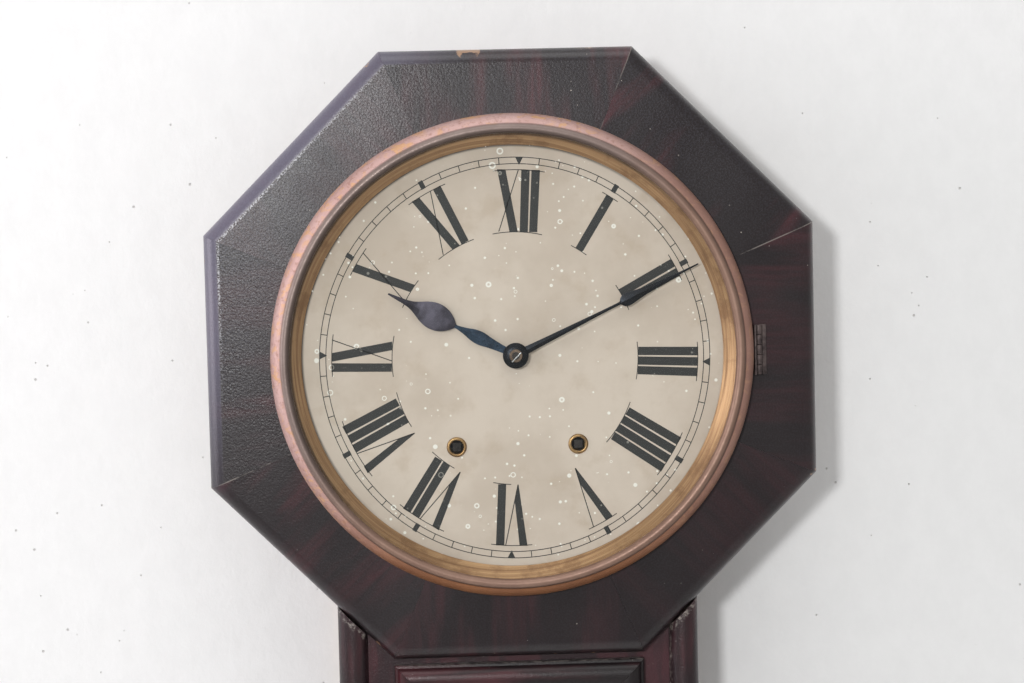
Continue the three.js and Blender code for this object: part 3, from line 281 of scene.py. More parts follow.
speck_group.links.new(times(speck_group, shape, chosen), result["Mask"])
print("sockets of the speck group:", [s.name for s in speck_group.interface.items_tree])

# %% [markdown]
# ## Old varnish
#
# The varnish has shrunk into a fine orange peel with hairline crazing. Both are relief, not colour: the
# peel is a noise about a millimetre across with a finer grit on it, and the crazing is the cracks between
# Voronoi cells. The group also gives a slow change of gloss, because the surface was rubbed more in some
# places.

# %% Group: crazed varnish
varnish_group, given, result = new_group(
    "crazed_varnish",
    {"Vector": "NodeSocketVector", "Peel": "NodeSocketFloat"},
    {"Height": "NodeSocketFloat", "Roughness": "NodeSocketFloat"},
)
PEEL_WAVES = 900.0
GRIT_WAVES = 2300.0
CRACK_CELLS = 620.0
peel = noise(varnish_group, given["Vector"], PEEL_WAVES, 1.0, 0.5)
grit = noise(varnish_group, given["Vector"], GRIT_WAVES, 1.0, 0.5)
cracks = put(
    varnish_group, "ShaderNodeTexVoronoi", {"Vector": given["Vector"], "Scale": CRACK_CELLS},
    feature="DISTANCE_TO_EDGE",
)
crack = between(varnish_group, cracks.outputs["Distance"], 0.0, 0.08)
fine = sums(varnish_group, "MULTIPLY_ADD", grit, 0.12, peel)
relief = sums(varnish_group, "MULTIPLY_ADD", crack, 0.12, fine)
varnish_group.links.new(times(varnish_group, relief, given["Peel"]), result["Height"])
rubbed = noise(varnish_group, given["Vector"], 14.0, 4.0, 0.6)
varnish_group.links.new(between(varnish_group, rubbed, 0.3, 0.7, 0.30, 0.40), result["Roughness"])
print("the varnish peel is", round(1000 / PEEL_WAVES, 2), "mm across")

# %% [markdown]
# ## Veneer figure
#
# The veneer is nearly black, with dull purple-red showing where the stain is thin, in streaks along the
# grain. A noise drawn out along the grain gives the streaks, and a slower one decides where the red
# shows. The group takes places whose second number runs along the grain. The tones are linear here,
# because they are too dark to be told apart on the screen's scale.

# %% Group: veneer figure
figure_group, given, result = new_group(
    "veneer_figure",
    {"Vector": "NodeSocketVector", "Redness": "NodeSocketFloat"},
    {"Color": "NodeSocketColor"},
)
STREAK_WAVES = (260, 22, 60)
BAND_WAVES = (34, 7, 20)
BLACK_BROWN = (0.0048, 0.0040, 0.0045, 1)
DARK_BROWN = (0.0100, 0.0072, 0.0078, 1)
DULL_RED = (0.058, 0.0140, 0.0180, 1)
streaks = noise(figure_group, stretched(figure_group, given["Vector"], STREAK_WAVES), 1.0, 4.0, 0.6, 0.4)
bands = noise(figure_group, stretched(figure_group, given["Vector"], BAND_WAVES), 1.0, 3.0, 0.55)
red = times(
    figure_group, between(figure_group, bands, 0.44, 0.62),
    between(figure_group, streaks, 0.3, 0.65, 0.35, 1.0),
)
dark = blend(figure_group, streaks, BLACK_BROWN, DARK_BROWN)
share = times(figure_group, red, given["Redness"])
figure_group.links.new(blend(figure_group, share, dark, DULL_RED), result["Color"])
print("streaks are drawn out", round(STREAK_WAVES[0] / STREAK_WAVES[1], 1), "times along the grain")

# %% [markdown]
# ## Where the octagon wears
#
# The head is chipped at its outer edge, carries painted sheen along it, and collects dust in its eight
# mitre joints. Both places can be worked out from the octagon itself: how far out a point lies towards
# the nearest side, and how far it is from the nearest joint. The angle round the middle, folded back and
# forth every 22.5 degrees, gives both.

# %% Group: places on the octagon
octagon_group, given, result = new_group(
    "octagon_places", {"Vector": "NodeSocketVector"},
    {"Reach": "NodeSocketFloat", "Joint": "NodeSocketFloat"},
)
EIGHTH = math.pi / 8
middled = stretched(octagon_group, given["Vector"], shift=tuple(-v for v in CASE_MIDDLE))
parts = put(octagon_group, "ShaderNodeSeparateXYZ", {"Vector": middled}).outputs
flat = put(octagon_group, "ShaderNodeCombineXYZ", {"X": parts["X"], "Y": parts["Z"]}).outputs[0]
radius = put(octagon_group, "ShaderNodeVectorMath", {0: flat}, operation="LENGTH").outputs["Value"]
angle = sums(octagon_group, "ARCTAN2", parts["Z"], parts["X"])
folded = sums(octagon_group, "PINGPONG", sums(octagon_group, "SUBTRACT", angle, EIGHTH), EIGHTH)
octagon_group.links.new(
    times(octagon_group, radius, sums(octagon_group, "SINE", folded)), result["Joint"],
)
off_side = sums(octagon_group, "SUBTRACT", EIGHTH, folded)
octagon_group.links.new(
    times(octagon_group, radius, sums(octagon_group, "COSINE", off_side)), result["Reach"],
)
print("one eighth turn folded at", round(math.degrees(EIGHTH), 1), "degrees")

# %% [markdown]
# ## Wear, painted sheen and painted shade on the head
#
# The light from the upper left is painted into the head's colour. A speckled grey painted sheen lies on
# the upper left flats, and the red fades under it; the red also fades towards the far right and the foot,
# a painted shade. The rounded edge there carries a dull lavender painted reflection, with a pale painted
# highlight where the flat turns into it. A chip has come off the top edge, and dust sits in three of the
# mitre joints and in specks at the top. Each place is a mask made from the octagon's own measures and
# from plain heights and widths, so the masks stay put when the clock is seen from elsewhere.

# %% Painted sheen and shade on the head: the upper left
ROUNDING = 0.1735
SIDEWAYS = -1.7


def leftwards(tree, parts):
    """A number that grows towards the upper left of the head."""
    return sums(tree, "MULTIPLY_ADD", parts["X"], SIDEWAYS, parts["Z"])


def red_under_sheen_and_shade(tree, parts, redness):
    """How red the head's figure is: less at the upper left, at the far right and at the foot."""
    # Less red at the far right and the foot, away from the light, is painted shade; at the upper left the
    # red gives way to the painted sheen.
    off_light = sums(tree, "MULTIPLY_ADD", parts["Z"], -0.6, parts["X"])
    redness = between(tree, off_light, 0.10, 0.17, redness, 0.3 * redness)
    return times(
        tree, redness, between(tree, parts["Z"], -0.06, -0.14, 1.0, 0.5),
        between(tree, leftwards(tree, parts), 0.18, 0.30, 1.0, 0.3),
    )


def painted_sheen_and_bare_back(tree, place, parts, spots, colour):
    """Painted sheen on the flats, bare wood at the back, a painted reflection on the edge, a painted
    highlight by it.
    """
    leftward = leftwards(tree, parts)
    grain = between(tree, noise(tree, place, 980.0, 1.0, 0.5), 0.45, 0.6)
    flats = sums(tree, "MAXIMUM", between(tree, leftward, 0.17, 0.40),
                 between(tree, parts["Z"], 0.04, 0.14, 0.12, 0.3))
    # Painted sheen: a speckled grey-blue on the upper left flats, where the light from the upper left
    # falls.
    colour = blend(tree, times(tree, grain, flats, 0.32), colour, tone(98, 100, 112))
    colour = blend(tree, between(tree, parts["Y"], -0.0757, -0.0753), colour, tone(132, 102, 72))
    # Painted reflection: the rounded edge at the upper left is painted a dull lavender, the reflection of
    # the light on the left.
    edge_reflection = times(tree, between(tree, spots["Reach"], ROUNDING + 0.0003, ROUNDING + 0.0013),
                 between(tree, leftward, 0.20, 0.34), 0.6)
    colour = blend(tree, edge_reflection, colour, tone(114, 110, 128))
    # Painted highlight: a pale speckled line where the flat turns into the rounding, at the upper left.
    crease_highlight = times(
        tree, between(tree, spots["Reach"], ROUNDING - 0.0011, ROUNDING - 0.0003),
        between(tree, spots["Reach"], ROUNDING + 0.0011, ROUNDING + 0.0003), grain,
        between(tree, leftward, 0.26, 0.36), 0.6,
    )
    return blend(tree, crease_highlight, colour, tone(206, 206, 212))


print("the rounded edge begins", 1000 * ROUNDING, "mm from the middle")

# %% [markdown]
# A noise makes the edge of a chip ragged. It is added to the place before the threshold, so the chip's
# outline wanders and its inside stays whole.

# %% Wear on the head: chips, specks and joints
def chipped(tree, place, parts, spots):
    """Where the veneer has come off: small chips along the outer edge and a larger one at the top."""
    ragged = noise(tree, place, 90.0, 4.0, 0.65)
    depth = sums(tree, "MULTIPLY_ADD", ragged, 0.012, parts["Y"])
    large = times(
        tree, between(tree, parts["X"], -0.032, -0.029), between(tree, parts["X"], -0.014, -0.018),
        between(tree, parts["Z"], 0.174, 0.176), between(tree, depth, -0.0785, -0.0790),
    )
    flaking = sums(tree, "MULTIPLY_ADD", ragged, 0.02, spots["Reach"])
    flaking = sums(tree, "MULTIPLY_ADD", large, 0.005, flaking)
    here_and_there = between(tree, noise(tree, place, 30.0, 2.0), 0.5, 0.56)
    return times(
        tree, between(tree, flaking, 0.1935, 0.1945), sums(tree, "MAXIMUM", large, here_and_there),
    )


def sprinkled(tree, parts):
    """The part of the top rail, right of the middle, where specks of dust lie thick."""
    return times(
        tree, between(tree, parts["X"], 0.0, 0.03), between(tree, parts["X"], 0.10, 0.07),
        between(tree, parts["Z"], 0.12, 0.14),
    )


def dusty_joints(tree, place, parts, spots):
    """Dust in the mitre joints at the upper right and the lower left."""
    upper_right = times(
        tree, between(tree, parts["X"], 0.03, 0.09), between(tree, parts["Z"], -0.02, 0.02),
    )
    lower_left = times(
        tree, between(tree, parts["X"], -0.09, -0.12), between(tree, parts["Z"], -0.02, -0.05),
    )
    return times(
        tree, between(tree, spots["Joint"], 0.0005, 0.0001),
        between(tree, noise(tree, place, 60.0, 3.0), 0.42, 0.6),
        sums(tree, "MAXIMUM", upper_right, lower_left), 0.4,
    )


print("wear masks ready")

# %% [markdown]
# ## The veneer
#
# Every veneered moulding and rail carries a UV map named grain, laid out in metres with its second number
# along the grain, so the figure follows each as it would if each were cut from its own strip. Over the
# figure lie dust specks and the relief of the old varnish. Dust also settles where two pieces meet, and
# there a second, finer noise breaks it up. The gloss comes from the shader's own roughness and a thin
# clear coat.

# %% Material: veneer
DUST = tone(176, 168, 160)
DULL_PURPLE = tone(70, 46, 52)
BARE_WOOD = tone(150, 118, 92)
DUST_SPECKS = 300.0
UNDER_HEAD = (0.1875, 0.1845)


def settled(tree, place, mask, per_metre, low, high, share):
    """Dust broken up by a noise, within a mask."""
    return times(tree, mask, between(tree, noise(tree, place, per_metre, 4.0, 0.7), low, high), share)


def make_veneer(name, redness, peel, dust, by_grain=True, head_wear_and_sheen=False, ledge=None, groove=None,
                wash=0.08):
    """Dark veneer. A wash of purple dulls it.

    Dust settles where the height passes from a ledge's first number to its second, and where the
    distance from the middle line passes from a groove's first number to its second, in metres."""
    material, tree, shader = new_material(name)
    place = here(tree)
    if by_grain:
        along = put(tree, "ShaderNodeUVMap", uv_map="grain").outputs[0]
    else:
        along = stretched(tree, place, turn=(math.radians(-90), 0, 0))
    spots = use_group(tree, octagon_group, {"Vector": place})
    parts = put(tree, "ShaderNodeSeparateXYZ", {"Vector": place}).outputs
    cloudy = between(tree, noise(tree, place, 9.0, 4.0), 0.45, 0.7)
    if head_wear_and_sheen:
        thick = sprinkled(tree, parts)
        redness = red_under_sheen_and_shade(tree, parts, redness)
        dust = sums(tree, "MULTIPLY_ADD", thick, 0.08, dust)
        cloudy = sums(tree, "MAXIMUM", cloudy, thick)
    colour = use_group(tree, figure_group, {"Vector": along, "Redness": redness})["Color"]
    colour = blend(tree, wash, colour, DULL_PURPLE)
    varnish = use_group(tree, varnish_group, {"Vector": place, "Peel": peel})
    specks = use_group(
        tree, speck_group, {"Vector": place, "Per Metre": DUST_SPECKS, "Size": 0.13, "Share": dust},
    )["Mask"]
    powder = times(tree, specks, cloudy)
    relief = varnish["Height"]
    fill(tree, shader, {"Specular IOR Level": 0.36, "Coat Weight": 0.07, "Coat Roughness": 0.3})
    if head_wear_and_sheen:
        # Painted sheen, painted reflection and painted highlight at the upper left, and bare wood at the
        # back.
        colour = painted_sheen_and_bare_back(tree, place, parts, spots, colour)
        colour = blend(tree, chipped(tree, place, parts, spots), colour, BARE_WOOD)
        powder = sums(tree, "MAXIMUM", powder, dusty_joints(tree, place, parts, spots))
        handled = between(tree, spots["Reach"], ROUNDING - 0.0005, ROUNDING + 0.0025, 0.05, 0.35)
        fill(tree, shader, {"Coat Weight": handled})
        relief = times(tree, relief, between(tree, leftwards(tree, parts), 0.12, 0.24, 0.45, 1.0))
    if groove:
        inside = sums(
            tree, "MAXIMUM", between(tree, sums(tree, "ABSOLUTE", parts["X"]), *groove),
            between(tree, spots["Reach"], *UNDER_HEAD),
        )
        powder = sums(tree, "MAXIMUM", powder, settled(tree, place, inside, 420.0, 0.46, 0.66, 0.5))
    if ledge:
        on_top = between(tree, parts["Z"], *ledge)
        powder = sums(tree, "MAXIMUM", powder, settled(tree, place, on_top, 160.0, 0.42, 0.6, 0.42))
    fill(tree, shader, {
        "Base Color": blend(tree, powder, colour, DUST),
        "Roughness": sums(tree, "MULTIPLY_ADD", powder, 0.3, varnish["Roughness"]),
    })
    bumped(tree, shader, relief, 0.00014)
    return material


COLUMN_GROOVE = (0.0916, 0.0902)
DOOR_LEDGE = (-0.1878, -0.1866)
HEAD_VENEER = make_veneer("head_veneer", redness=1.1, peel=1.0, dust=0.04, head_wear_and_sheen=True)
COLUMN_VENEER = make_veneer(
    "column_veneer", redness=0.9, peel=1.3, dust=0.10, groove=COLUMN_GROOVE, wash=0.2,
)
DOOR_VENEER = make_veneer("door_veneer", redness=1.5, peel=0.8, dust=0.16, ledge=DOOR_LEDGE, wash=0.04)
BOARD_VENEER = make_veneer("board_veneer", redness=2.6, peel=0.9, dust=0.16, by_grain=False, wash=0.4)
print("veneers made:", [m.name for m in (HEAD_VENEER, COLUMN_VENEER, DOOR_VENEER, BOARD_VENEER)])

# %% [markdown]
# ## Bare softwood
#
# The back and the blocks behind the movement are unvarnished softwood. It has broad pale bands and
# narrow brown ones, so a wave texture bent by a noise and drawn out along the board does it.

# %% Material: softwood
BAND_SCALE = 17.0
BAND_WIDTH = 2 * math.pi / 20 / BAND_SCALE
SOFTWOOD, tree, shader = new_material("softwood")
place = stretched(tree, here(tree), (1, 1, 0.12))
rings = put(
    tree, "ShaderNodeTexWave", {"Vector": place, "Scale": BAND_SCALE, "Distortion": 11.0, "Detail": 3.0},
).outputs["Fac"]
fibre = noise(tree, stretched(tree, here(tree), (900, 900, 30)), 1.0, 3.0)
wood = blend(tree, rings, tone(172, 136, 96), tone(142, 106, 72))
wood = blend(tree, times(tree, fibre, 0.5), wood, tone(96, 68, 46))
fill(tree, shader, {"Base Color": wood, "Roughness": between(tree, fibre, 0.2, 0.8, 0.62, 0.85)})
bumped(tree, shader, fibre, 0.0002)
print("softwood bands before bending are", round(1000 * BAND_WIDTH), "mm apart")

# %% [markdown]
# ## Coppery bezel
#
# The spun bezel was once bright. Its outer slope has gone pink with golden scuffs where lacquer is left,
# and the bead inside it has a grey-brown bloom. Away from the light at the upper left, the slope is
# painted darker and browner at the right and the foot, and the bead is painted dark on its inner half at
# the upper
# left and in its outer crease elsewhere: all of it painted shade. How far a point lies from the bezel's
# middle tells the slope from the bead. Tarnish lies over the metal like a thin paint, so the surface is
# only partly metallic.

# %% Material: bezel copper
def from_middle(tree, place):
    """Distance from the axis of the octagon and the dial, in metres."""
    middled = stretched(tree, place, (1, 0, 1), shift=(-CASE_MIDDLE.x, 0, -CASE_MIDDLE.z))
    return put(tree, "ShaderNodeVectorMath", {0: middled}, operation="LENGTH").outputs["Value"]


def towards_upper_left(tree, parts, low, high, out_low=0.0, out_high=1.0):
    """A mask that grows from the lower right to the upper left."""
    return between(
        tree, sums(tree, "SUBTRACT", parts["Z"], parts["X"]), low, high, out_low, out_high,
    )


BEAD_EDGE = 0.1388
BEAD_MIDDLE = 0.1362
BEZEL_COPPER, tree, shader = new_material("bezel_copper")
place = here(tree)
parts = put(tree, "ShaderNodeSeparateXYZ", {"Vector": place}).outputs
radius = from_middle(tree, place)
on_bead = between(tree, radius, BEAD_EDGE, BEAD_EDGE - 0.0016)
mottle = noise(tree, place, 45.0, 4.0, 0.6)
pitted = noise(tree, place, 320.0, 3.0, 0.7)
upper_left = towards_upper_left(tree, parts, -0.04, 0.10)
elsewhere = sums(tree, "SUBTRACT", 1.0, upper_left)
lower = between(tree, parts["Z"], -0.060, -0.132)
rightward = between(tree, parts["X"], 0.02, 0.12)
pink = blend(tree, mottle, tone(206, 176, 172), tone(178, 138, 128))
pink = blend(tree, between(tree, pitted, 0.5, 0.72, 0.0, 0.6), pink, tone(150, 108, 96))
# Painted shade: the slope is darker and browner towards the right and the foot, away from the light at
# the upper left.
pink = blend(tree, rightward, pink, blend(tree, mottle, tone(170, 132, 118), tone(134, 98, 86)))
pink = blend(tree, lower, pink, blend(tree, mottle, tone(156, 104, 66), tone(100, 62, 42)))
scuffs = noise(tree, stretched(tree, place, (130, 130, 190)), 1.0, 3.0, 0.6, 0.8)
gold = times(
    tree, between(tree, scuffs, 0.5, 0.64), between(tree, mottle, 0.34, 0.54, 0.0, 0.8),
    sums(tree, "SUBTRACT", 1.0, lower), sums(tree, "MULTIPLY_ADD", rightward, -0.7, 1.0),
)
pink = blend(tree, gold, pink, tone(206, 160, 116))
bloom = blend(tree, mottle, tone(146, 130, 124), tone(108, 92, 86))
browner = blend(tree, mottle, tone(152, 124, 108), tone(114, 86, 74))
bloom = blend(tree, upper_left, browner, bloom)
# Painted shade on the bead: its inner half at the upper left, which faces away from the light, and its
# outer crease elsewhere.
lip_shade = times(tree, between(tree, radius, BEAD_MIDDLE, 0.1326), upper_left)
crease_shade = times(tree, between(tree, radius, BEAD_MIDDLE, 0.1382), elsewhere)
bead_shade = times(tree, sums(tree, "MAXIMUM", lip_shade, crease_shade), 0.75)
bloom = blend(tree, bead_shade, bloom, tone(58, 46, 40))
fine = noise(tree, place, 700.0, 2.0)
dull = between(tree, fine, 0.2, 0.8, 0.5, 0.64)
fill(tree, shader, {
    "Base Color": blend(tree, on_bead, pink, bloom),
    "Metallic": between(tree, on_bead, 0, 1, 0.3, 0.5),
    "Roughness": sums(tree, "MULTIPLY_ADD", on_bead, -0.12, dull),
})
bumped(tree, shader, sums(tree, "MULTIPLY_ADD", mottle, 0.6, fine), 0.00006)
print("the bead begins inside", round(1000 * BEAD_EDGE, 1), "mm")

# %% [markdown]
# ## Sight ring
#
# The sloping ring between glass and dial is a browner bronze, with streaks that run round it, left by
# spinning and by years of polish. Streaks round a ring need a coordinate that hardly changes round it, so
# the noise reads the distance from the middle, with the place added a little. A painted shadow of the
# bezel's bead darkens its outer rim, most of all at the upper left.

# %% Material: sight ring bronze
STREAKS_PER_METRE = 900.0
RIM_SHADOW = (0.1306, 0.1318)
SIGHT_BRONZE, tree, shader = new_material("sight_bronze")
place = here(tree)
radius = from_middle(tree, place)
turning = put(tree, "ShaderNodeCombineXYZ", {"X": times(tree, radius, STREAKS_PER_METRE)}).outputs[0]
slow = stretched(tree, place, (22, 22, 22))
around = put(tree, "ShaderNodeVectorMath", {0: turning, 1: slow}, operation="ADD").outputs["Vector"]
streaked = noise(tree, around, 1.0, 4.0, 0.65)
patchy = noise(tree, place, 55.0, 4.0, 0.65)
bronze = blend(tree, between(tree, streaked, 0.28, 0.72), tone(182, 144, 104), tone(140, 104, 72))
bronze = blend(tree, between(tree, patchy, 0.5, 0.66, 0.0, 0.6), bronze, tone(122, 86, 56))
parts = put(tree, "ShaderNodeSeparateXYZ", {"Vector": place}).outputs
# Painted shadow: the bead above it shades the ring's outer rim, most at the upper left.
painted_shadow = times(
    tree, between(tree, radius, *RIM_SHADOW), towards_upper_left(tree, parts, -0.06, 0.06, 0.05, 0.7),
)
fill(tree, shader, {
    "Base Color": blend(tree, painted_shadow, bronze, tone(44, 32, 26)), "Metallic": 0.6,
    "Roughness": between(tree, streaked, 0.3, 0.7, 0.34, 0.5),
})
bumped(tree, shader, streaked, 0.00008)
print("the bronze streaks follow the radius,", STREAKS_PER_METRE, "per metre")

# %% [markdown]
# ## Brass, steel, blued steel and iron
#
# The small metal parts share one recipe: a metal tone with darker tarnish in soft patches and a fine
# grain in the gloss. Only the tones and the gloss differ, so one function makes them all. Blued steel is
# a very dark metal with a little blue in it, not a blue paint.

# %% Materials: small metals
def make_metal(name, bright, tarnished, gloss, metallic=1.0, patches=60.0):
    """A metal from two tones, a (low, high) roughness and the tarnish's patches per metre."""
    material, tree, shader = new_material(name)
    place = here(tree)
    tarnish = noise(tree, place, patches, 4.0, 0.62)
    grain = noise(tree, place, 1100.0, 2.0)
    fill(tree, shader, {
        "Base Color": blend(tree, between(tree, tarnish, 0.35, 0.7), bright, tarnished),
        "Metallic": metallic, "Roughness": between(tree, grain, 0.2, 0.8, *gloss),
    })
    bumped(tree, shader, sums(tree, "MULTIPLY_ADD", tarnish, 0.5, grain), 0.00003)
    return material


BRASS = make_metal("aged_brass", tone(206, 168, 98), tone(150, 112, 62), (0.28, 0.44))
EYELET_BRASS = make_metal("eyelet_brass", tone(176, 142, 98), tone(118, 88, 58), (0.3, 0.44))
NUT_BRASS = make_metal("nut_brass", tone(104, 88, 76), tone(66, 54, 46), (0.34, 0.5), metallic=0.9)
HINGE_COPPER = make_metal(
    "hinge_copper", tone(92, 80, 78), tone(54, 46, 46), (0.5, 0.7), metallic=0.5, patches=200.0,
)
STEEL = make_metal("plain_steel", tone(176, 176, 178), tone(120, 116, 112), (0.3, 0.45))
ARBOR_STEEL = make_metal("arbor_steel", tone(62, 58, 56), tone(36, 33, 32), (0.3, 0.45))
BLUED = make_metal(
    "blued_steel", tone(27, 30, 36), tone(20, 20, 23), (0.3, 0.42), metallic=0.85, patches=90.0,
)
LEAF_BLUE = make_metal(
    "leaf_blue", tone(66, 84, 104), tone(44, 54, 68), (0.26, 0.38), metallic=0.9, patches=90.0,
)
HOUR_STEEL = make_metal(
    "hour_steel", tone(74, 70, 80), tone(46, 43, 50), (0.3, 0.42), metallic=0.85, patches=90.0,
)
IRON = make_metal(
    "japanned_iron", tone(52, 49, 47), tone(34, 31, 30), (0.5, 0.7), metallic=0.3, patches=40.0,
)
print("metals made:", BRASS.name, STEEL.name, BLUED.name, IRON.name)

# %% [markdown]
# ## Dial paper and ink
#
# The dial is a printed paper, gone warm beige, cloudy, and strewn with white specks and tiny rings. It is
# a matt surface: the colour does the work, and the specks stand a hair proud. A narrow painted shadow of
# the sight ring darkens its rim under the upper left of the bezel. The ink is a worn charcoal that lets a
# few specks through.

# %% Materials: dial paper and ink
FRECKLES = ((60.0, 0.052, 0.9), (115.0, 0.115, 0.12), (170.0, 0.13, 0.0))
PAPER_SHADOW = (0.1238, 0.1254)


def freckles(tree, place):
    """White specks of three kinds, each with its number per metre, its size and its share of rings."""
    crowded = between(tree, noise(tree, place, 13.0, 2.0), 0.4, 0.62, 0.35, 1.0)
    white = None
    for per_metre, size, ring_share in FRECKLES:
        mask = use_group(tree, speck_group, {
            "Vector": place, "Per Metre": per_metre, "Size": size, "Share": crowded,
            "Ring Share": ring_share,
        })["Mask"]
        white = sums(tree, "MAXIMUM", white, mask) if white else mask
    return white


PAPER, tree, shader = new_material("dial_paper")
place = here(tree)
cloud = noise(tree, place, 16.0, 5.0, 0.6)
stain = noise(tree, place, 42.0, 4.0, 0.65)
beige = blend(tree, between(tree, cloud, 0.36, 0.64), tone(206, 190, 176), tone(193, 176, 161))
beige = blend(tree, between(tree, stain, 0.5, 0.72, 0.0, 0.38), beige, tone(176, 154, 132))
parts = put(tree, "ShaderNodeSeparateXYZ", {"Vector": place}).outputs
# Painted shadow: a dark band at the rim of the paper, under the upper left of the sight ring.
painted_shadow = times(
    tree, between(tree, from_middle(tree, place), *PAPER_SHADOW),
    towards_upper_left(tree, parts, -0.03, 0.08), 0.8,
)
beige = blend(tree, painted_shadow, beige, tone(72, 62, 54))
white = freckles(tree, place)
fill(tree, shader, {
    "Base Color": blend(tree, times(tree, white, 0.8), beige, tone(244, 240, 232)), "Roughness": 0.72,
})
bumped(tree, shader, sums(tree, "MULTIPLY_ADD", stain, 0.4, white), 0.00005)

INK, tree, shader = new_material("dial_ink")
place = here(tree)
worn = between(tree, noise(tree, place, 260.0, 4.0, 0.7), 0.62, 0.72)
pale = sums(tree, "MAXIMUM", times(tree, freckles(tree, place), 0.45), times(tree, worn, 0.22))
fill(tree, shader, {
    "Base Color": blend(tree, pale, tone(26, 25, 24), tone(176, 170, 160)), "Roughness": 0.6,
})
print("dial paper and ink made")

# %% [markdown]
# ## Glass
#
# Clear glass lets light through, but a path tracer can't aim light through a refracting slab: the dial
# behind it would lie in a dark shadow, or be lit twice over. So only the rays that look through the glass
# see it as glass. For shadow, diffuse and glossy rays a plain transparent shader takes its place.

# %% Material: clear glass
GLASS, tree, shader = new_material("clear_glass")
fill(tree, shader, {
    "Base Color": (0.97, 0.985, 0.98, 1), "Transmission Weight": 1.0, "Roughness": 0.01, "IOR": 1.45,
})
bumped(tree, shader, noise(tree, here(tree), 11.0, 2.0), 0.00008)
through = put(tree, "ShaderNodeBsdfTransparent", {"Color": (0.96, 0.975, 0.97, 1)})
rays = put(tree, "ShaderNodeLightPath")
unseen = sums(tree, "MAXIMUM", rays.outputs["Is Shadow Ray"], rays.outputs["Is Diffuse Ray"])
unseen = sums(tree, "MAXIMUM", unseen, rays.outputs["Is Glossy Ray"])
swapped(tree, shader, unseen, through)
print("glass ready")

# %% [markdown]
# ## From bmesh to finished piece
#
# Each piece is modelled in place with bmesh operators, so its object stays at the origin, unturned. The
# last step is always the same: point the faces outwards, shade curved parts smooth but keep true edges
# sharp, give it its finish, and let it ride on the body that carries it.

# %% Finishing a piece
def finished(bm, name, material, body, replaces=(), sharp=32):
    """Turns a bmesh into a piece of the clock."""
    bmesh.ops.remove_doubles(bm, verts=bm.verts, dist=1e-6)
    bmesh.ops.recalc_face_normals(bm, faces=bm.faces)
    open_edges = sum(1 for edge in bm.edges if not edge.is_manifold)
    mesh = bpy.data.meshes.new(name)
    bm.to_mesh(mesh)
    bm.free()
    mesh.materials.append(material)
    mesh.polygons.foreach_set("use_smooth", [True] * len(mesh.polygons))
    mesh.set_sharp_from_angle(angle=math.radians(sharp))
    piece = bpy.data.objects.new(name, mesh)
    bpy.context.scene.collection.objects.link(piece)
    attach(piece, body)
    if replaces:
        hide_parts(*replaces)
    print(f"{name}: {len(mesh.polygons)} faces, open edges {open_edges}")
    return piece


def turned(profile, x=0.0, z=0.0, steps=96, bm=None, closed=False):
    """Spins [radius, depth] points about a line through (x, z) that points out of the wall."""
    bm = bm or bmesh.new()
    corners = [bm.verts.new(at(x + r, depth, z)) for r, depth in profile]
    sides = [bm.edges.new(pair) for pair in zip(corners, corners[1:])]
    if closed:
        sides.append(bm.edges.new((corners[-1], corners[0])))
    bmesh.ops.spin(
        bm, geom=corners + sides, cent=at(x, 0, z), axis=TURN_AXIS, angle=2 * math.pi, steps=steps,
        use_merge=True,
    )
    bmesh.ops.remove_doubles(bm, verts=bm.verts, dist=1e-6)
    return bm


def arc(radius, depth, r, start, end, steps=8):
    """Points of a rounding for a profile: centre, radius, and angles in degrees from +radius."""
    points = []
    for i in range(steps + 1):
        a = math.radians(start + (end - start) * i / steps)
        points.append((radius + r * math.cos(a), depth + r * math.sin(a)))
    return points


def prism(bm, points, near, far, place=at):
    """A flat outline made solid from one depth to a greater one."""
    face = bm.faces.new([bm.verts.new(place(x, near, z)) for x, z in points])
    raised = bmesh.ops.extrude_face_region(bm, geom=[face])["geom"]
    corners = [part for part in raised if isinstance(part, bmesh.types.BMVert)]
    bmesh.ops.translate(bm, verts=corners, vec=FRONT * (far - near) * MM)


sample = bmesh.new()
prism(sample, [(0, 0), (10, 0), (10, 5), (0, 5)], 0, 2)
print("a test block has", len(sample.faces), "faces and",
      sum(1 for e in sample.edges if not e.is_manifold), "open edges")
sample.free()

# %% [markdown]
# ## Head: eight mitred rails
#
# The octagon is built up from eight rails with mitred ends and one rounded outer edge. Each rail could be
# cut from a ring, but a real one is a strip with its own veneer, so each is its own piece: its outline is
# drawn flat and extruded, the long outer edge is bevelled round, and the finished rail is turned to its
# place. The veneer's grain runs across the rail, towards the middle, and on over the rounded edge.

# %% Head rails
HEAD_BACK = 75.0
HEAD_FRONT = 95.0
HEAD_APOTHEM = 182.5
HEAD_ROUND = 9.0
OPENING_R = 114.0
RAIL_SLIP = 0.03
FIT = 0.3


def lay_grain(bm, across, along):
    """Writes the grain UV map, in metres, from two functions of a corner's place."""
    layer = bm.loops.layers.uv.new("grain")
    for face in bm.faces:
        for loop in face.loops:
            loop[layer].uv = (across(loop.vert.co), along(loop.vert.co))


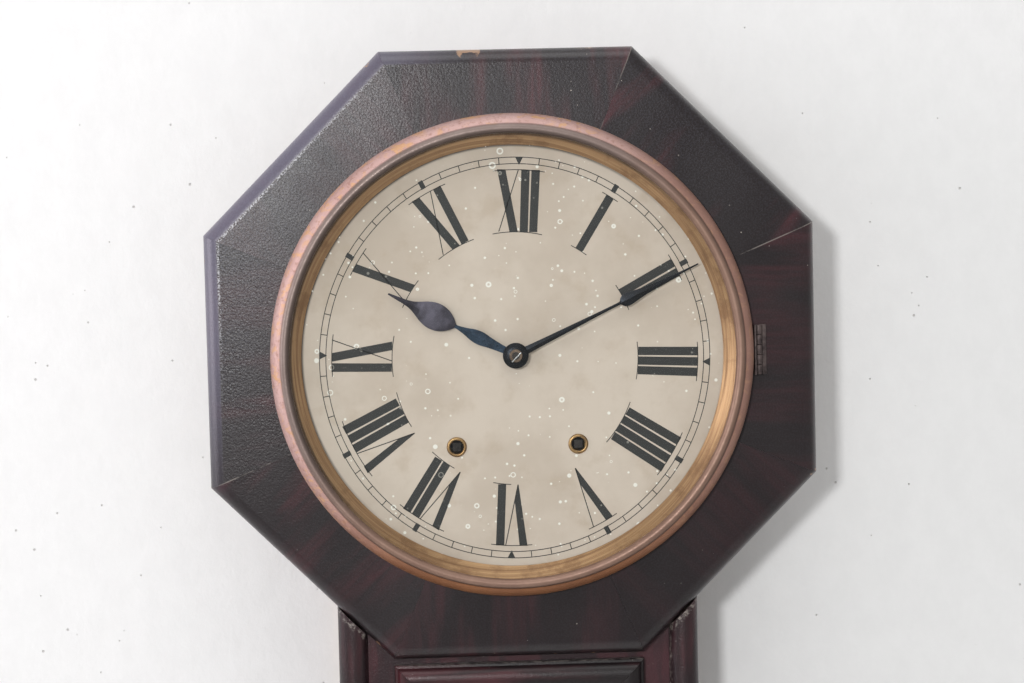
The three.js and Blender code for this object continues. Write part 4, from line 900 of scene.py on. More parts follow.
def head_rail(number):
    """One side of the octagon, a hair short of its mitres, counted from the top."""
    half = math.pi / 8
    end = half - RAIL_SLIP / OPENING_R
    inner = [
        (OPENING_R * math.sin(a), OPENING_R * math.cos(a))
        for a in (-end + 2 * end * i / 16 for i in range(17))
    ]
    corner = HEAD_APOTHEM * math.tan(half) - RAIL_SLIP / math.cos(half)
    bm = bmesh.new()
    prism(bm, inner + [(corner, HEAD_APOTHEM), (-corner, HEAD_APOTHEM)], HEAD_BACK, HEAD_FRONT, on_case)
    bmesh.ops.recalc_face_normals(bm, faces=bm.faces)
    front = on_case(0, HEAD_FRONT, HEAD_APOTHEM)
    rim = [
        edge for edge in bm.edges
        if all(abs(v.co.y - front.y) < 1e-6 and abs(v.co.z - front.z) < 1e-6 for v in edge.verts)
    ]
    bmesh.ops.bevel(
        bm, geom=rim, offset=HEAD_ROUND * MM, segments=12, profile=0.5, affect="EDGES", material=-1,
    )
    lay_grain(
        bm, lambda co: co.x + 0.31 * number, lambda co: co.z + HEAD_FRONT * MM + co.y + 0.17 * number,
    )
    bmesh.ops.rotate(
        bm, verts=bm.verts, cent=CASE_MIDDLE, matrix=Matrix.Rotation(number * math.pi / 4, 3, "Y"),
    )
    return bm


for number in range(8):
    name = f"head_rail_{number + 1}"
    finished(head_rail(number), f"veneered_{name}", HEAD_VENEER, "case", [name])

# %% [markdown]
# ## Half-round columns
#
# A half-round moulding runs down each side of the drop and dies into the slanting side of the head. It is
# a half circle extruded along its length and cut with one plane, as a saw would cut it.

# %% Columns
HALF_BOX = 109.0
COLUMN_R = 8.8
COLUMN_RISE = 230.0
PANEL_FRONT = 83.0
SHOULDER_Z = -320.0


def capped(bm):
    """Closes what a cut has opened."""
    rim = [edge for edge in bm.edges if edge.is_boundary]
    bmesh.ops.holes_fill(bm, edges=rim)


def column(side):
    """The left (-1) or the right (1) half-round, cut off along the head's slanting side."""
    middle = side * (HALF_BOX - COLUMN_R)
    bow = arc(middle, PANEL_FRONT + FIT, COLUMN_R, 0, 180, 28)
    bm = bmesh.new()
    foot = bm.faces.new([bm.verts.new(on_case(x, depth, SHOULDER_Z)) for x, depth in bow])
    raised = bmesh.ops.extrude_face_region(bm, geom=[foot])["geom"]
    corners = [part for part in raised if isinstance(part, bmesh.types.BMVert)]
    bmesh.ops.translate(bm, verts=corners, vec=(0, 0, COLUMN_RISE * MM))
    slant = Vector((side, 0, -1)).normalized()
    bmesh.ops.bisect_plane(
        bm, geom=bm.verts[:] + bm.edges[:] + bm.faces[:], dist=1e-7,
        plane_co=CASE_MIDDLE + slant * (HEAD_APOTHEM + FIT) * MM, plane_no=slant, clear_inner=True,
    )
    capped(bm)
    centre = on_case(middle, PANEL_FRONT + FIT, 0)
    lay_grain(
        bm, lambda co: COLUMN_R * MM * math.atan2(centre.y - co.y, co.x - centre.x), lambda co: co.z,
    )
    return bm


for side, word in ((-1, "left"), (1, "right")):
    finished(
        column(side), f"half_round_{word}", COLUMN_VENEER, "case", [f"column_{word}"], sharp=50,
    )

# %% [markdown]
# ## Drop door
#
# The door's frame is a moulding mitred at five corners, because the drop ends in a point. The moulding's
# section is drawn once, from the outer edge to the sight edge with the rabbet for the glass behind. Each
# length is that section extruded, then cut at both ends by the planes that halve the corners. Cutting
# real mitres, rather than sweeping one ring, leaves the fine joint lines and lets each length have its
# own grain.

# %% Drop door: outline and section
POINT_Z = -372.0
V_SLOPE = (SHOULDER_Z - POINT_Z) / HALF_BOX
V_STRETCH = math.hypot(1, V_SLOPE)
DOOR_INSET = 33.5
DOOR_TOP = -186.5
DOOR_BACK = 83.3
KNOB_X = -58.7
KNOB_Z = -249.25
KNOB_HOLE_R = 2.15


def drop_outline(inset, top):
    """The drop's pointed outline, drawn in from its edges, from the top left corner round."""
    half = HALF_BOX - inset
    point = POINT_Z + inset * V_STRETCH
    shoulder = point + half * V_SLOPE
    return [(-half, top), (half, top), (half, shoulder), (0, point), (-half, shoulder)]


MOULDING = [
    (0.0, DOOR_BACK), (0.0, 88.4), (0.5, 89.0), (1.8, 89.2), (2.2, 90.2), (3.4, 91.6), (5.2, 92.7),
    (7.4, 93.25),
    (9.6, 93.3), (12.0, 92.9), (14.4, 92.0), (16.6, 90.8), (18.6, 89.5), (20.4, 88.6), (22.2, 88.1),
    (23.4, 87.9), (24.0, 87.3), (24.0, 85.9), (21.0, 85.9), (21.0, DOOR_BACK),
]
print("door outline:", [(round(x, 1), round(z, 1)) for x, z in drop_outline(DOOR_INSET, DOOR_TOP)])

# %% [markdown]
# Each length starts well before its corner and runs on past the next one, and the two mitre planes take
# off what is spare. A hair's breadth stays open at every joint.

# %% Drop door: mitred lengths
SPARE = 45.0
MITRE_SLIP = 0.06


def moulded_length(bm, before, start, end, after):
    """One length of moulding between two corners, mitred against its neighbours."""
    start, end, before, after = (Vector((p[0], p[1])) for p in (start, end, before, after))
    run = (end - start).normalized()
    inward = Vector((run.y, -run.x))
    section = []
    for inset, depth in MOULDING:
        spot = start - run * SPARE + inward * inset
        section.append(bm.verts.new(on_case(spot.x, depth, spot.y)))
    face = bm.faces.new(section)
    raised = bmesh.ops.extrude_face_region(bm, geom=[face])["geom"]
    length = ((end - start).length + 2 * SPARE) * MM
    made = [v for v in raised if isinstance(v, bmesh.types.BMVert)]
    bmesh.ops.translate(bm, verts=made, vec=Vector((run.x, 0, run.y)) * length)
    cuts = (
        (start, (start - before).normalized() + run, MITRE_SLIP, True),
        (end, run + (after - end).normalized(), -MITRE_SLIP, False),
    )
    for corner, normal, slip, keep_beyond in cuts:
        normal = Vector((normal.x, 0, normal.y)).normalized()
        bmesh.ops.bisect_plane(
            bm, geom=bm.verts[:] + bm.edges[:] + bm.faces[:], dist=1e-7,
            plane_co=on_case(corner.x, 0, corner.y) + normal * slip * MM, plane_no=normal,
            clear_inner=keep_beyond, clear_outer=not keep_beyond,
        )
        capped(bm)
    side = Vector((run.x, 0, run.y))
    across = Vector((inward.x, 0, inward.y))
    lay_grain(
        bm, lambda co: co.dot(across) - co.y + 0.2 * start.x,
        lambda co: co.dot(side) + 0.3 * start.y,
    )


corners = drop_outline(DOOR_INSET, DOOR_TOP)
frame_bm = bmesh.new()
for i, start in enumerate(corners):
    length_bm = bmesh.new()
    moulded_length(length_bm, corners[i - 1], start, corners[(i + 1) % 5], corners[(i + 2) % 5])
    length_mesh = bpy.data.meshes.new("length")
    length_bm.to_mesh(length_mesh)
    length_bm.free()
    frame_bm.from_mesh(length_mesh)
    bpy.data.meshes.remove(length_mesh)
print("door lengths joined:", len(frame_bm.faces), "faces")

# %% [markdown]
# Holes are cut by the solids of drills. The cut is made lasting at once, so no modifier and no drill is
# left in the scene. The door's first hole is the one for the knob's shaft.

# %% Drop door: drilling and finishing
def bored(piece, drills):
    """Cuts the solids of a bmesh out of a piece and leaves no modifier on it."""
    mesh = bpy.data.meshes.new("drills")
    bmesh.ops.recalc_face_normals(drills, faces=drills.faces)
    drills.to_mesh(mesh)
    drills.free()
    tool = bpy.data.objects.new("drills", mesh)
    bpy.context.scene.collection.objects.link(tool)
    cut = piece.modifiers.new("holes", "BOOLEAN")
    cut.operation = "DIFFERENCE"
    cut.solver = "EXACT"
    cut.object = tool
    graph = bpy.context.evaluated_depsgraph_get()
    done = bpy.data.meshes.new_from_object(piece.evaluated_get(graph))
    piece.modifiers.clear()
    piece.data = done
    bpy.data.objects.remove(tool)
    done.set_sharp_from_angle(angle=math.radians(32))
    print(f"{piece.name}: bored, {len(done.polygons)} faces")


def drill(bm, x, z, r, near, far, place=at, steps=32):
    """A cylinder out of the wall, for a hole or a peg."""
    bmesh.ops.create_cone(
        bm, cap_ends=True, segments=steps, radius1=r * MM, radius2=r * MM, depth=(far - near) * MM,
        matrix=Matrix.Translation(place(x, (near + far) / 2, z)) @ Matrix.Rotation(math.pi / 2, 4, "X"),
    )
    return bm


door_frame = finished(
    frame_bm, "moulded_door", DOOR_VENEER, "drop_door", ["door_frame"], sharp=40,
)
bored(door_frame, drill(bmesh.new(), KNOB_X, KNOB_Z, KNOB_HOLE_R, DOOR_BACK - 3, 96, on_case))

# %% [markdown]
# ## Door knob and its turn-button
#
# A little brass knob turns a cam behind the door's stile. The knob and its shaft are turned pieces. The
# cam is a block with softened edges.

# %% Door knob
def block(bm, x0, x1, near, far, z0, z1, place=at, soften=0.25):
    """A box between two places, with its edges just broken."""
    middle = place((x0 + x1) / 2, (near + far) / 2, (z0 + z1) / 2)
    made = bmesh.ops.create_cube(
        bm, size=MM,
        matrix=Matrix.Translation(middle) @ Matrix.Diagonal((x1 - x0, far - near, z1 - z0, 1)),
    )["verts"]
    if soften:
        edges = list({edge for v in made for edge in v.link_edges})
        bmesh.ops.bevel(
            bm, geom=edges, offset=soften * MM, segments=2, profile=0.5, affect="EDGES", material=-1,
        )
    return bm


KNOB_FRONT = 93.6
SHAFT_BACK = 74.5
SHAFT_R = 1.8
knob = turned(
    [(0, SHAFT_BACK), (SHAFT_R, SHAFT_BACK), (SHAFT_R, KNOB_FRONT), (4.5, KNOB_FRONT),
     (4.3, KNOB_FRONT + 0.8), (3.2, KNOB_FRONT + 1.8), (3.0, KNOB_FRONT + 2.6)]
    + arc(2.6, KNOB_FRONT + 6.0, 3.4, -60, 90, 12) + [(0, KNOB_FRONT + 9.7)],
    KNOB_X + CASE_X, KNOB_Z + CASE_Z, 40,
)
block(knob, KNOB_X - 2.5, KNOB_X + 2.5, 72.4, 74.7, KNOB_Z - 3, KNOB_Z + 12, on_case, 0.6)
finished(knob, "turned_knob", BRASS, "door_knob", ["door_knob"])

# %% [markdown]
# ## Hinges
#
# The bezel and the door turn on small hinges whose knuckles are shared between two leaves. A knuckle is a
# short cylinder with broken edges; every second one belongs to the moving leaf. The same function makes
# the bezel's long hinge and the door's two butts.

# %% Hinges
def knuckles(bm, x, depth, z, length, r, count, which):
    """The knuckles of one leaf, counted from the bottom."""
    step = length / count
    for i in which:
        middle = on_case(x, depth, z - length / 2 + (i + 0.5) * step)
        made = bmesh.ops.create_cone(
            bm, cap_ends=True, segments=28, radius1=r * MM, radius2=r * MM, depth=(step - FIT) * MM,
            matrix=Matrix.Translation(middle),
        )["verts"]
        edges = {edge for v in made for edge in v.link_edges}
        rims = [edge for edge in edges if abs(edge.verts[0].co.z - edge.verts[1].co.z) < 1e-7]
        bmesh.ops.bevel(
            bm, geom=rims, offset=0.3 * MM, segments=2, profile=0.5, affect="EDGES", material=-1,
        )
    return bm


def screw(bm, x, depth, z, r, turn):
    """A countersunk screw's head: a disc with a half moon each side of its slot."""
    middle = Vector((x, z))
    along = Vector((math.cos(math.radians(turn)), math.sin(math.radians(turn))))
    drill(bm, x, z, r, depth - 0.2, depth + 0.1, on_case, 24)
    for sign in (-1, 1):
        across = Vector((-along.y, along.x)) * sign
        lean = math.asin(0.16)
        bow = [lean + (math.pi - 2 * lean) * i / 12 for i in range(13)]
        points = [middle + (along * math.cos(a) + across * math.sin(a)) * r for a in bow]
        prism(bm, [tuple(p) for p in points], depth + 0.05, depth + 0.35, on_case)
    return bm


BEZEL_R = 144.2
HINGE_X = 147.5
HINGE_DEPTH = 97.6
HINGE_LONG = 30
KNUCKLE_R = 2.0
LEAF_BACK = HEAD_FRONT + FIT
LEAF_FRONT = 96.6
fixed = knuckles(bmesh.new(), HINGE_X, HINGE_DEPTH, 0, HINGE_LONG, KNUCKLE_R, 5, (0, 2, 4))
block(
    fixed, HINGE_X + 0.2, HINGE_X + 4.5, LEAF_BACK, LEAF_FRONT, -HINGE_LONG / 2, HINGE_LONG / 2, on_case,
)
finished(fixed, "bezel_hinge_leaf", HINGE_COPPER, "case", ["bezel_hinge_fixed"], sharp=40)
moving = knuckles(bmesh.new(), HINGE_X, HINGE_DEPTH, 0, HINGE_LONG, KNUCKLE_R, 5, (1, 3))
block(moving, BEZEL_R + 0.3, BEZEL_R + 1.4, 95.9, 101.0, -HINGE_LONG / 2, HINGE_LONG / 2, on_case)
finished(
    moving, "bezel_hinge_strap", HINGE_COPPER, "bezel", ["bezel_hinge_moving"], sharp=40,
)

BUTT_X = 78.8
BUTT_DEPTH = 86.5
BUTT_LONG = 26
BUTT_FRONT = 84.9
for number, height in ((1, -218.5), (2, -280.0)):
    foot, head = height - BUTT_LONG / 2, height + BUTT_LONG / 2
    fixed = knuckles(bmesh.new(), BUTT_X, BUTT_DEPTH, height, BUTT_LONG, KNUCKLE_R, 3, (0, 2))
    block(fixed, BUTT_X + 0.4, BUTT_X + 9, DOOR_BACK, BUTT_FRONT, foot, head, on_case)
    for z, turn in ((height - 8, 20), (height + 8, -50)):
        screw(fixed, BUTT_X + 5.8, BUTT_FRONT, z, 1.7, turn)
    finished(
        fixed, f"butt_leaf_{number}", BRASS, "case", [f"door_hinge_fixed_{number}"], sharp=40,
    )
    moving = knuckles(bmesh.new(), BUTT_X, BUTT_DEPTH, height, BUTT_LONG, KNUCKLE_R, 3, (1,))
    block(moving, BUTT_X - 3.0, BUTT_X - 2.0, 84.5, 88.4, foot, head, on_case)
    block(moving, BUTT_X - 2.4, BUTT_X, 84.6, 85.6, height - 4, height + 4, on_case)
    finished(
        moving, f"butt_strap_{number}", BRASS, "drop_door", [f"door_hinge_moving_{number}"],
        sharp=40,
    )

# %% [markdown]
# ## Bezel, glass and sight ring
#
# Three turned pieces. The bezel has a straight outer slope, a crease, and a round bead before it drops to
# the glass; behind the glass the sight ring slopes down to the dial. Each is one closed section spun
# round the middle of the octagon, with enough steps that the circle reads as a circle.

# %% Bezel, glass and sight ring
BEZEL_BASE = HEAD_FRONT + FIT
BEZEL_TOP = 112.4
CREASE_R = BEZEL_R - 6.0
LIP_R = BEZEL_R - 11.9
GLASS_NEAR = 106.3
GLASS_FAR = 108.3
GLASS_R = BEZEL_R - 8.5
BEAD = (CREASE_R - LIP_R) / 2
section = (
    [(BEZEL_R - 1.4, BEZEL_BASE), (BEZEL_R, BEZEL_BASE), (BEZEL_R, 99.0), (BEZEL_R - 0.35, 101.4)]
    + [(BEZEL_R - 1.0, 103.6), (BEZEL_R - 2.0, 105.8), (BEZEL_R - 3.3, 107.6), (BEZEL_R - 4.7, 108.8)]
    + [(BEZEL_R - 5.7, 109.2)]
    + arc(LIP_R + BEAD, BEZEL_TOP - BEAD, BEAD, 4, 176, 18)
    + [(LIP_R, 108.6), (BEZEL_R - 8.2, 108.6), (BEZEL_R - 8.2, 105.3), (BEZEL_R - 3.6, 104.0)]
)
ring_bm = turned(section, CASE_X, CASE_Z, 168, closed=True)
finished(ring_bm, "spun_bezel", BEZEL_COPPER, "bezel", ["bezel_ring"], sharp=25)
pane = [(0, GLASS_NEAR), (GLASS_R, GLASS_NEAR), (GLASS_R, GLASS_FAR), (0, GLASS_FAR)]
finished(turned(pane, CASE_X, CASE_Z, 128), "bezel_pane", GLASS, "bezel", ["bezel_glass"])
SIGHT_R = BEZEL_R - 18.6
SIGHT_LIP = 97.5
slope = [
    (GLASS_R, 106.0), (GLASS_R, 105.2), (GLASS_R - 1.3, 105.2), (SIGHT_R + 3.6, 101.0),
    (SIGHT_R + 1.1, SIGHT_LIP), (SIGHT_R, SIGHT_LIP), (SIGHT_R, SIGHT_LIP + 0.9),
    (SIGHT_R + 0.5, SIGHT_LIP + 1.4), (SIGHT_R + 3.0, SIGHT_LIP + 3.6), (SIGHT_R + 5.6, SIGHT_LIP + 6.0),
    (SIGHT_R + 7.6, SIGHT_LIP + 7.8), (SIGHT_R + 8.2, 106.0),
]
slope_bm = turned(slope, CASE_X, CASE_Z, 168, closed=True)
finished(slope_bm, "sight_slope", SIGHT_BRONZE, "bezel", ["sight_ring"], sharp=25)

# %% [markdown]
# ## Dial plate and eyelets
#
# The dial is a thin sheet of zinc under its paper, with a hole for the hands and two for the winding
# squares. It is spun as a washer and drilled. Brass eyelets line the two winding holes.

# %% Dial plate and eyelets
DIAL_BACK = HEAD_FRONT + FIT
DIAL_FRONT = 96.5
DIAL_R = 137.4
WIND_X = 36.3
WIND_Z = -54.0
plate = turned(
    [(6, DIAL_BACK), (DIAL_R, DIAL_BACK), (DIAL_R, DIAL_FRONT), (6, DIAL_FRONT)], steps=144, closed=True,
)
dial = finished(plate, "dial_sheet", PAPER, "case", ["dial_plate"])
holes = bmesh.new()
for side in (-1, 1):
    drill(holes, side * WIND_X, WIND_Z, 5.0, DIAL_BACK - 2, DIAL_FRONT + 2)
bored(dial, holes)

eyelet_section = [
    (4.0, 95.4), (4.0, 96.9), (4.3, 97.25), (4.8, 97.4), (5.4, 97.35), (5.85, 97.0), (6.0, 96.6),
    (5.0, 96.6), (5.0, 95.4),
]
eyelets = bmesh.new()
for side in (-1, 1):
    turned(eyelet_section, side * WIND_X, WIND_Z, 48, eyelets, closed=True)
finished(eyelets, "winding_eyelets", EYELET_BRASS, "case", ["dial_plate"], sharp=60)

# %% [markdown]
# ## The printing on the dial
#
# The dial's printing is a whisper of ink standing a few hundredths of a millimetre on the paper: two
# circles with minute strokes between them, a block or a wedge at each hour, and Roman numerals with their
# feet towards the centre. The paper was printed a little off centre and glued on slightly turned, so
# everything is drawn true and then moved as one.

# %% Dial printing: the minute ring
INK_BACK = 96.45
INK_FRONT = 96.54
TRACK_OUT = 120.6
TRACK_IN = 116.7
HAIRLINE = 0.5
HOUR_BLOCK = (1.5, 121.3, 116.2)
MINUTE_STROKE = (0.27, TRACK_OUT, TRACK_IN)
printing = bmesh.new()


def polar(angle, r, x=0.0):
    """A place on the dial: clockwise angle in radians, distance out, and a step to the clockwise side."""
    return (r * math.sin(angle) + x * math.cos(angle), r * math.cos(angle) - x * math.sin(angle))


def inked(points):
    """Prints a flat shape."""
    prism(printing, points, INK_BACK, INK_FRONT)


def ring_line(r, start=0.0, end=2 * math.pi, wide=HAIRLINE, steps=180):
    """Prints an arc of a hairline circle."""
    count = max(3, round(steps * (end - start) / (2 * math.pi)))
    angles = [start + (end - start) * i / count for i in range(count + 1)]
    outside = [polar(a, r + wide / 2) for a in angles]
    inside = [polar(a, r - wide / 2) for a in angles]
    if end - start < 6:
        inked(outside + inside[::-1])
        return
    turned(
        [(r - wide / 2, INK_BACK), (r + wide / 2, INK_BACK), (r + wide / 2, INK_FRONT),
         (r - wide / 2, INK_FRONT)], steps=steps, bm=printing, closed=True,
    )


for r in (TRACK_OUT, TRACK_IN):
    ring_line(r)
for minute in range(60):
    angle = minute * math.pi / 30
    if minute % 15 == 0:
        inked([polar(angle, TRACK_OUT + 0.2, -2.5), polar(angle, TRACK_OUT + 0.2, 2.5),
               polar(angle, TRACK_IN - 0.6, 0.12), polar(angle, TRACK_IN - 0.6, -0.12)])
    else:
        half, far, near = HOUR_BLOCK if minute % 5 == 0 else MINUTE_STROKE
        inked([polar(angle, far, -half), polar(angle, far, half), polar(angle, near, half),
               polar(angle, near, -half)])
print("minute ring:", len(printing.faces), "faces")

# %% [markdown]
# The numerals are built from three letters. Each is a heavy stroke or two and a hairline, given by where
# it starts at the outer end and where it ends at the inner one. A numeral's letters close up towards the
# centre, because the whole numeral tapers. Hairline serifs join their ends along two circles.

# %% Dial printing: numerals
NUMERAL_OUT = 113.1
NUMERAL_IN = 76.0
NUMERAL_TAPER = 0.92
SERIF_REACH = 3.0
LETTER_WIDTH = {"I": 5.2, "V": 13.8, "X": 13.0}
SPACE = {"XI": 1.5, "XX": 1.5, "II": 1.1, "VI": 0.6, "IX": 1.3, "IV": 1.3}
HEAVY = {
    "I": [(-2.6, 0), (2.6, 0), (2.5, 1), (-2.5, 1)],
    "V": [(-6.9, 0), (-2.0, 0), (1.35, 0.72), (-0.25, 1), (-0.85, 1)],
    "X": [(-6.9, 0), (-1.7, 0), (6.1, 1), (0.9, 1)],
}
FINE = {"V": (6.7, -0.55), "X": (6.2, -5.6)}
NUMERALS = ["XII", "I", "II", "III", "IIII", "V", "VI", "VII", "VIII", "IX", "X", "XI"]


def letter_place(angle, middle, x, share):
    """A place in a numeral: the letter's middle, a step beside it, and how far in, from 0 to 1."""
    r = NUMERAL_OUT + (NUMERAL_IN - NUMERAL_OUT) * share
    return polar(angle, r, middle * (1 + (NUMERAL_TAPER - 1) * share) + x)


def numeral(word, angle):
    """Prints one numeral with its serifs."""
    wide = sum(LETTER_WIDTH[c] for c in word) + sum(SPACE[a + b] for a, b in zip(word, word[1:]))
    left = -wide / 2
    feet = []
    for i, letter in enumerate(word):
        middle = left + LETTER_WIDTH[letter] / 2
        inked([letter_place(angle, middle, x, share) for x, share in HEAVY[letter]])
        if letter in FINE:
            top, foot = FINE[letter]
            line = [(top - 0.3, 0), (top + 0.3, 0), (foot + 0.3, 1), (foot - 0.3, 1)]
            inked([letter_place(angle, middle, x, share) for x, share in line])
        if letter != "V":
            feet += [middle * NUMERAL_TAPER - LETTER_WIDTH[letter] / 2,
                     middle * NUMERAL_TAPER + LETTER_WIDTH[letter] / 2]
        left += LETTER_WIDTH[letter] + (SPACE[letter + word[i + 1]] if i + 1 < len(word) else 0)
    head_reach = (wide / 2 + SERIF_REACH) / NUMERAL_OUT
    ring_line(NUMERAL_OUT, angle - head_reach, angle + head_reach)
    if feet:
        ring_line(
            NUMERAL_IN, angle + (min(feet) - SERIF_REACH) / NUMERAL_IN,
            angle + (max(feet) + SERIF_REACH) / NUMERAL_IN,
        )


for hour, word in enumerate(NUMERALS):
    numeral(word, hour * math.pi / 6)

PRINT_SCALE = (0.9641, 0.992)
PRINT_TURN = 2.416
PRINT_SHIFT = (-0.2, -2.0)
bmesh.ops.transform(
    printing, verts=printing.verts,
    matrix=Matrix.Translation(at(PRINT_SHIFT[0], 0, PRINT_SHIFT[1]))
    @ Matrix.Rotation(math.radians(PRINT_TURN), 4, "Y")
    @ Matrix.Diagonal((PRINT_SCALE[0], 1, PRINT_SCALE[1], 1)),
)
finished(printing, "dial_printing", INK, "case", ["dial_plate"])

# %% [markdown]
# ## Hands
#
# Both hands are filed from strip: a hub, a thin stem, a swelling and a long point, with a ridge filed
# down the middle so that one side catches the light. Each is given by its half width at distances from
# the arbor, smoothed into a curve, then lofted from sections of five corners: two at the back edge, two
# at the front edge, and one on the ridge.

# %% Lofting
def lofted(bm, sections):
    """A solid through closed sections with the same number of corners."""
    loops = []
    for section in sections:
        corners = [bm.verts.new(place) for place in section]
        loops.append([bm.edges.new(pair) for pair in zip(corners, corners[1:] + corners[:1])])
    for first, second in zip(loops, loops[1:]):
        bmesh.ops.bridge_loops(bm, edges=first + second)
    for end in (loops[0], loops[-1]):
        bmesh.ops.holes_fill(bm, edges=end)
    return bm


def smoothed(points, pieces=6):
    """More points along a smooth curve through the given ones."""
    padded = [points[0]] + points + [points[-1]]
    fine = []
    for a, b, c, d in zip(padded, padded[1:], padded[2:], padded[3:]):
        for i in range(pieces):
            t = i / pieces
            fine.append(tuple(
                0.5 * (2 * q + (r - p) * t + (2 * p - 5 * q + 4 * r - s) * t * t
                       + (3 * q - p - 3 * r + s) * t ** 3)
                for p, q, r, s in zip(a, b, c, d)
            ))
    return fine + [points[-1]]


print("three places smoothed into", len(smoothed([(0, 0), (1, 2), (2, 0)])), "places")

# %% [markdown]
# A blade follows its list from the hub to the point. A round hub with a bore is turned and joined to it.

# %% Hands
def hand_blade(bm, halves, back, degrees, ridge):
    """The stem, swelling and point of a hand."""
    angle = math.radians(degrees)
    sections = []
    for half, far in smoothed(halves):
        half = max(half, 0.25)
        rise = min(ridge, half * 0.32)
        shape = [(-half, 0), (-half, 0.5), (0, 0.5 + rise), (half, 0.5), (half, 0)]
        section = []
        for x, up in shape:
            across, high = polar(angle, far, x)
            section.append(at(across, back + up, high))
        sections.append(section)
    return lofted(bm, sections)


def hub(bm, outer, bore, back, front, steps=56):
    """A hand's round boss with a rounded rim and a bore."""
    return turned(
        [(bore, back), (outer, back), (outer, front - 0.25), (outer - 0.15, front - 0.08),
         (outer - 0.4, front), (bore, front)], steps=steps, bm=bm, closed=True,
    )


HOUR_BACK = 98.5
HOUR_FRONT = 99.3
HOUR_ANGLE = -62.7
HOUR_STEM = [(2.1, 6.6), (2.4, 11), (3.1, 17), (4.0, 23), (3.6, 28), (2.2, 33), (1.1, 38.5), (1.3, 40.6)]
HOUR_TEARDROP = [
    (1.3, 40.0), (4.0, 42.6), (6.6, 46.6), (7.9, 51.0), (7.9, 55.4), (6.6, 60.0), (4.4, 64.4),
    (2.5, 68.6), (1.6, 73.0), (1.1, 78.0), (0.5, 84.1),
]
hour = hub(bmesh.new(), 7.4, 5.3, HOUR_BACK, HOUR_FRONT)
hand_blade(hour, HOUR_STEM, HOUR_BACK, HOUR_ANGLE, 0.8)
finished(hour, "hour_hand_leaf", LEAF_BLUE, "hour_pipe", ["hour_hand"], sharp=12)
teardrop = hand_blade(bmesh.new(), HOUR_TEARDROP, HOUR_BACK, HOUR_ANGLE, 0.55)
finished(teardrop, "hour_hand_teardrop", HOUR_STEEL, "hour_pipe", ["hour_hand"], sharp=12)

MINUTE_BACK = 101.3
MINUTE_FRONT = 102.1
MINUTE_ANGLE = 64.7
MINUTE_BLADE = [
    (2.4, 6.4), (2.1, 14), (1.8, 24), (1.4, 40), (1.0, 56), (0.85, 68.2), (1.1, 69.6), (2.9, 71.2),
    (3.8, 73.6), (3.7, 76.4), (3.0, 81), (2.2, 87), (1.6, 93), (1.1, 101), (0.7, 111), (0.4, 121.4),
]
minute_bm = hub(bmesh.new(), 7.3, 2.6, MINUTE_BACK, MINUTE_FRONT)
hand_blade(minute_bm, MINUTE_BLADE, MINUTE_BACK, MINUTE_ANGLE, 0.5)
finished(minute_bm, "minute_hand_spade", BLUED, "minute_arbor", ["minute_hand"], sharp=12)

# %% [markdown]
# A domed, blued collet holds the minute hand down. On it sits a small brass nut, and a taper pin lies
# across it.

# %% Collet, nut and pin
dome = [
    (2.6, 102.4), (7.4, 102.4), (7.7, 102.6), (7.6, 102.95), (6.6, 103.45), (5.4, 103.85), (4.4, 104.1),
    (2.6, 104.2),
]
collet = turned(dome, steps=64, closed=True)
finished(collet, "domed_collet", BLUED, "minute_arbor", ["hand_washer"])
nut = turned(
    [(2.35, 103.9), (3.6, 103.9), (3.9, 104.15), (3.9, 104.8), (3.6, 105.1), (2.35, 105.1)],
    steps=40, closed=True,
)
finished(nut, "hand_nut", NUT_BRASS, "minute_arbor", ["hand_washer"])
PIN_DEPTH = 105.2
PIN_THICK = 0.42
PIN_THIN = 0.34
pin = bmesh.new()
pin_from = at(-2.4, PIN_DEPTH, -3.6)
pin_to = at(3.2, PIN_DEPTH, 1.9)
pin_axis = pin_to - pin_from
bmesh.ops.create_cone(
    pin, cap_ends=True, segments=16, radius1=PIN_THICK * MM, radius2=PIN_THIN * MM, depth=pin_axis.length,
    matrix=Matrix.Translation((pin_from + pin_to) / 2)
    @ pin_axis.to_track_quat("Z", "Y").to_matrix().to_4x4(),
)
finished(pin, "taper_pin", STEEL, "minute_arbor", ["hand_washer"])

# %% [markdown]
# ## Pendulum bob
#
# The bob is a turned brass lens with a bore for its rod. It slides on the rod and rests on the rating
# nut, so it is its own body.

# %% Bob
ROD_DEPTH = 20.0
BOB_Z = -276.0
BOB_R = 30.0
BOB_HALF = 7.0
ROD_HOLE_R = 1.5
RIM_HALF = 0.6
front_curve = []
for degrees in range(0, 89, 8):
    a = math.radians(degrees)
    swell = (BOB_HALF - RIM_HALF) * math.sin(a)
    front_curve.append((BOB_R * math.cos(a) ** 0.9, ROD_DEPTH + RIM_HALF + swell))
lens_section = (
    [(0, ROD_DEPTH - BOB_HALF)]
    + [(r, 2 * ROD_DEPTH - depth) for r, depth in reversed(front_curve)]
    + front_curve + [(0, ROD_DEPTH + BOB_HALF)]
)
lens = turned(lens_section, 0, BOB_Z, 96)
bob = finished(lens, "turned_bob", BRASS, "bob", ["pendulum_bob"], sharp=40)
rod_bore = bmesh.new()
bmesh.ops.create_cone(
    rod_bore, cap_ends=True, segments=24, radius1=ROD_HOLE_R * MM, radius2=ROD_HOLE_R * MM, depth=80 * MM,
    matrix=Matrix.Translation(at(0, ROD_DEPTH, BOB_Z)),
)
bored(bob, rod_bore)

# %% [markdown]
# ## Gong and mainsprings
#
# The gong is a flat spiral of round wire. The mainsprings are flat ribbons, wound open, whose outer ends
# reach the pillars. Both are lofted from many small sections, so they stay true spirals.

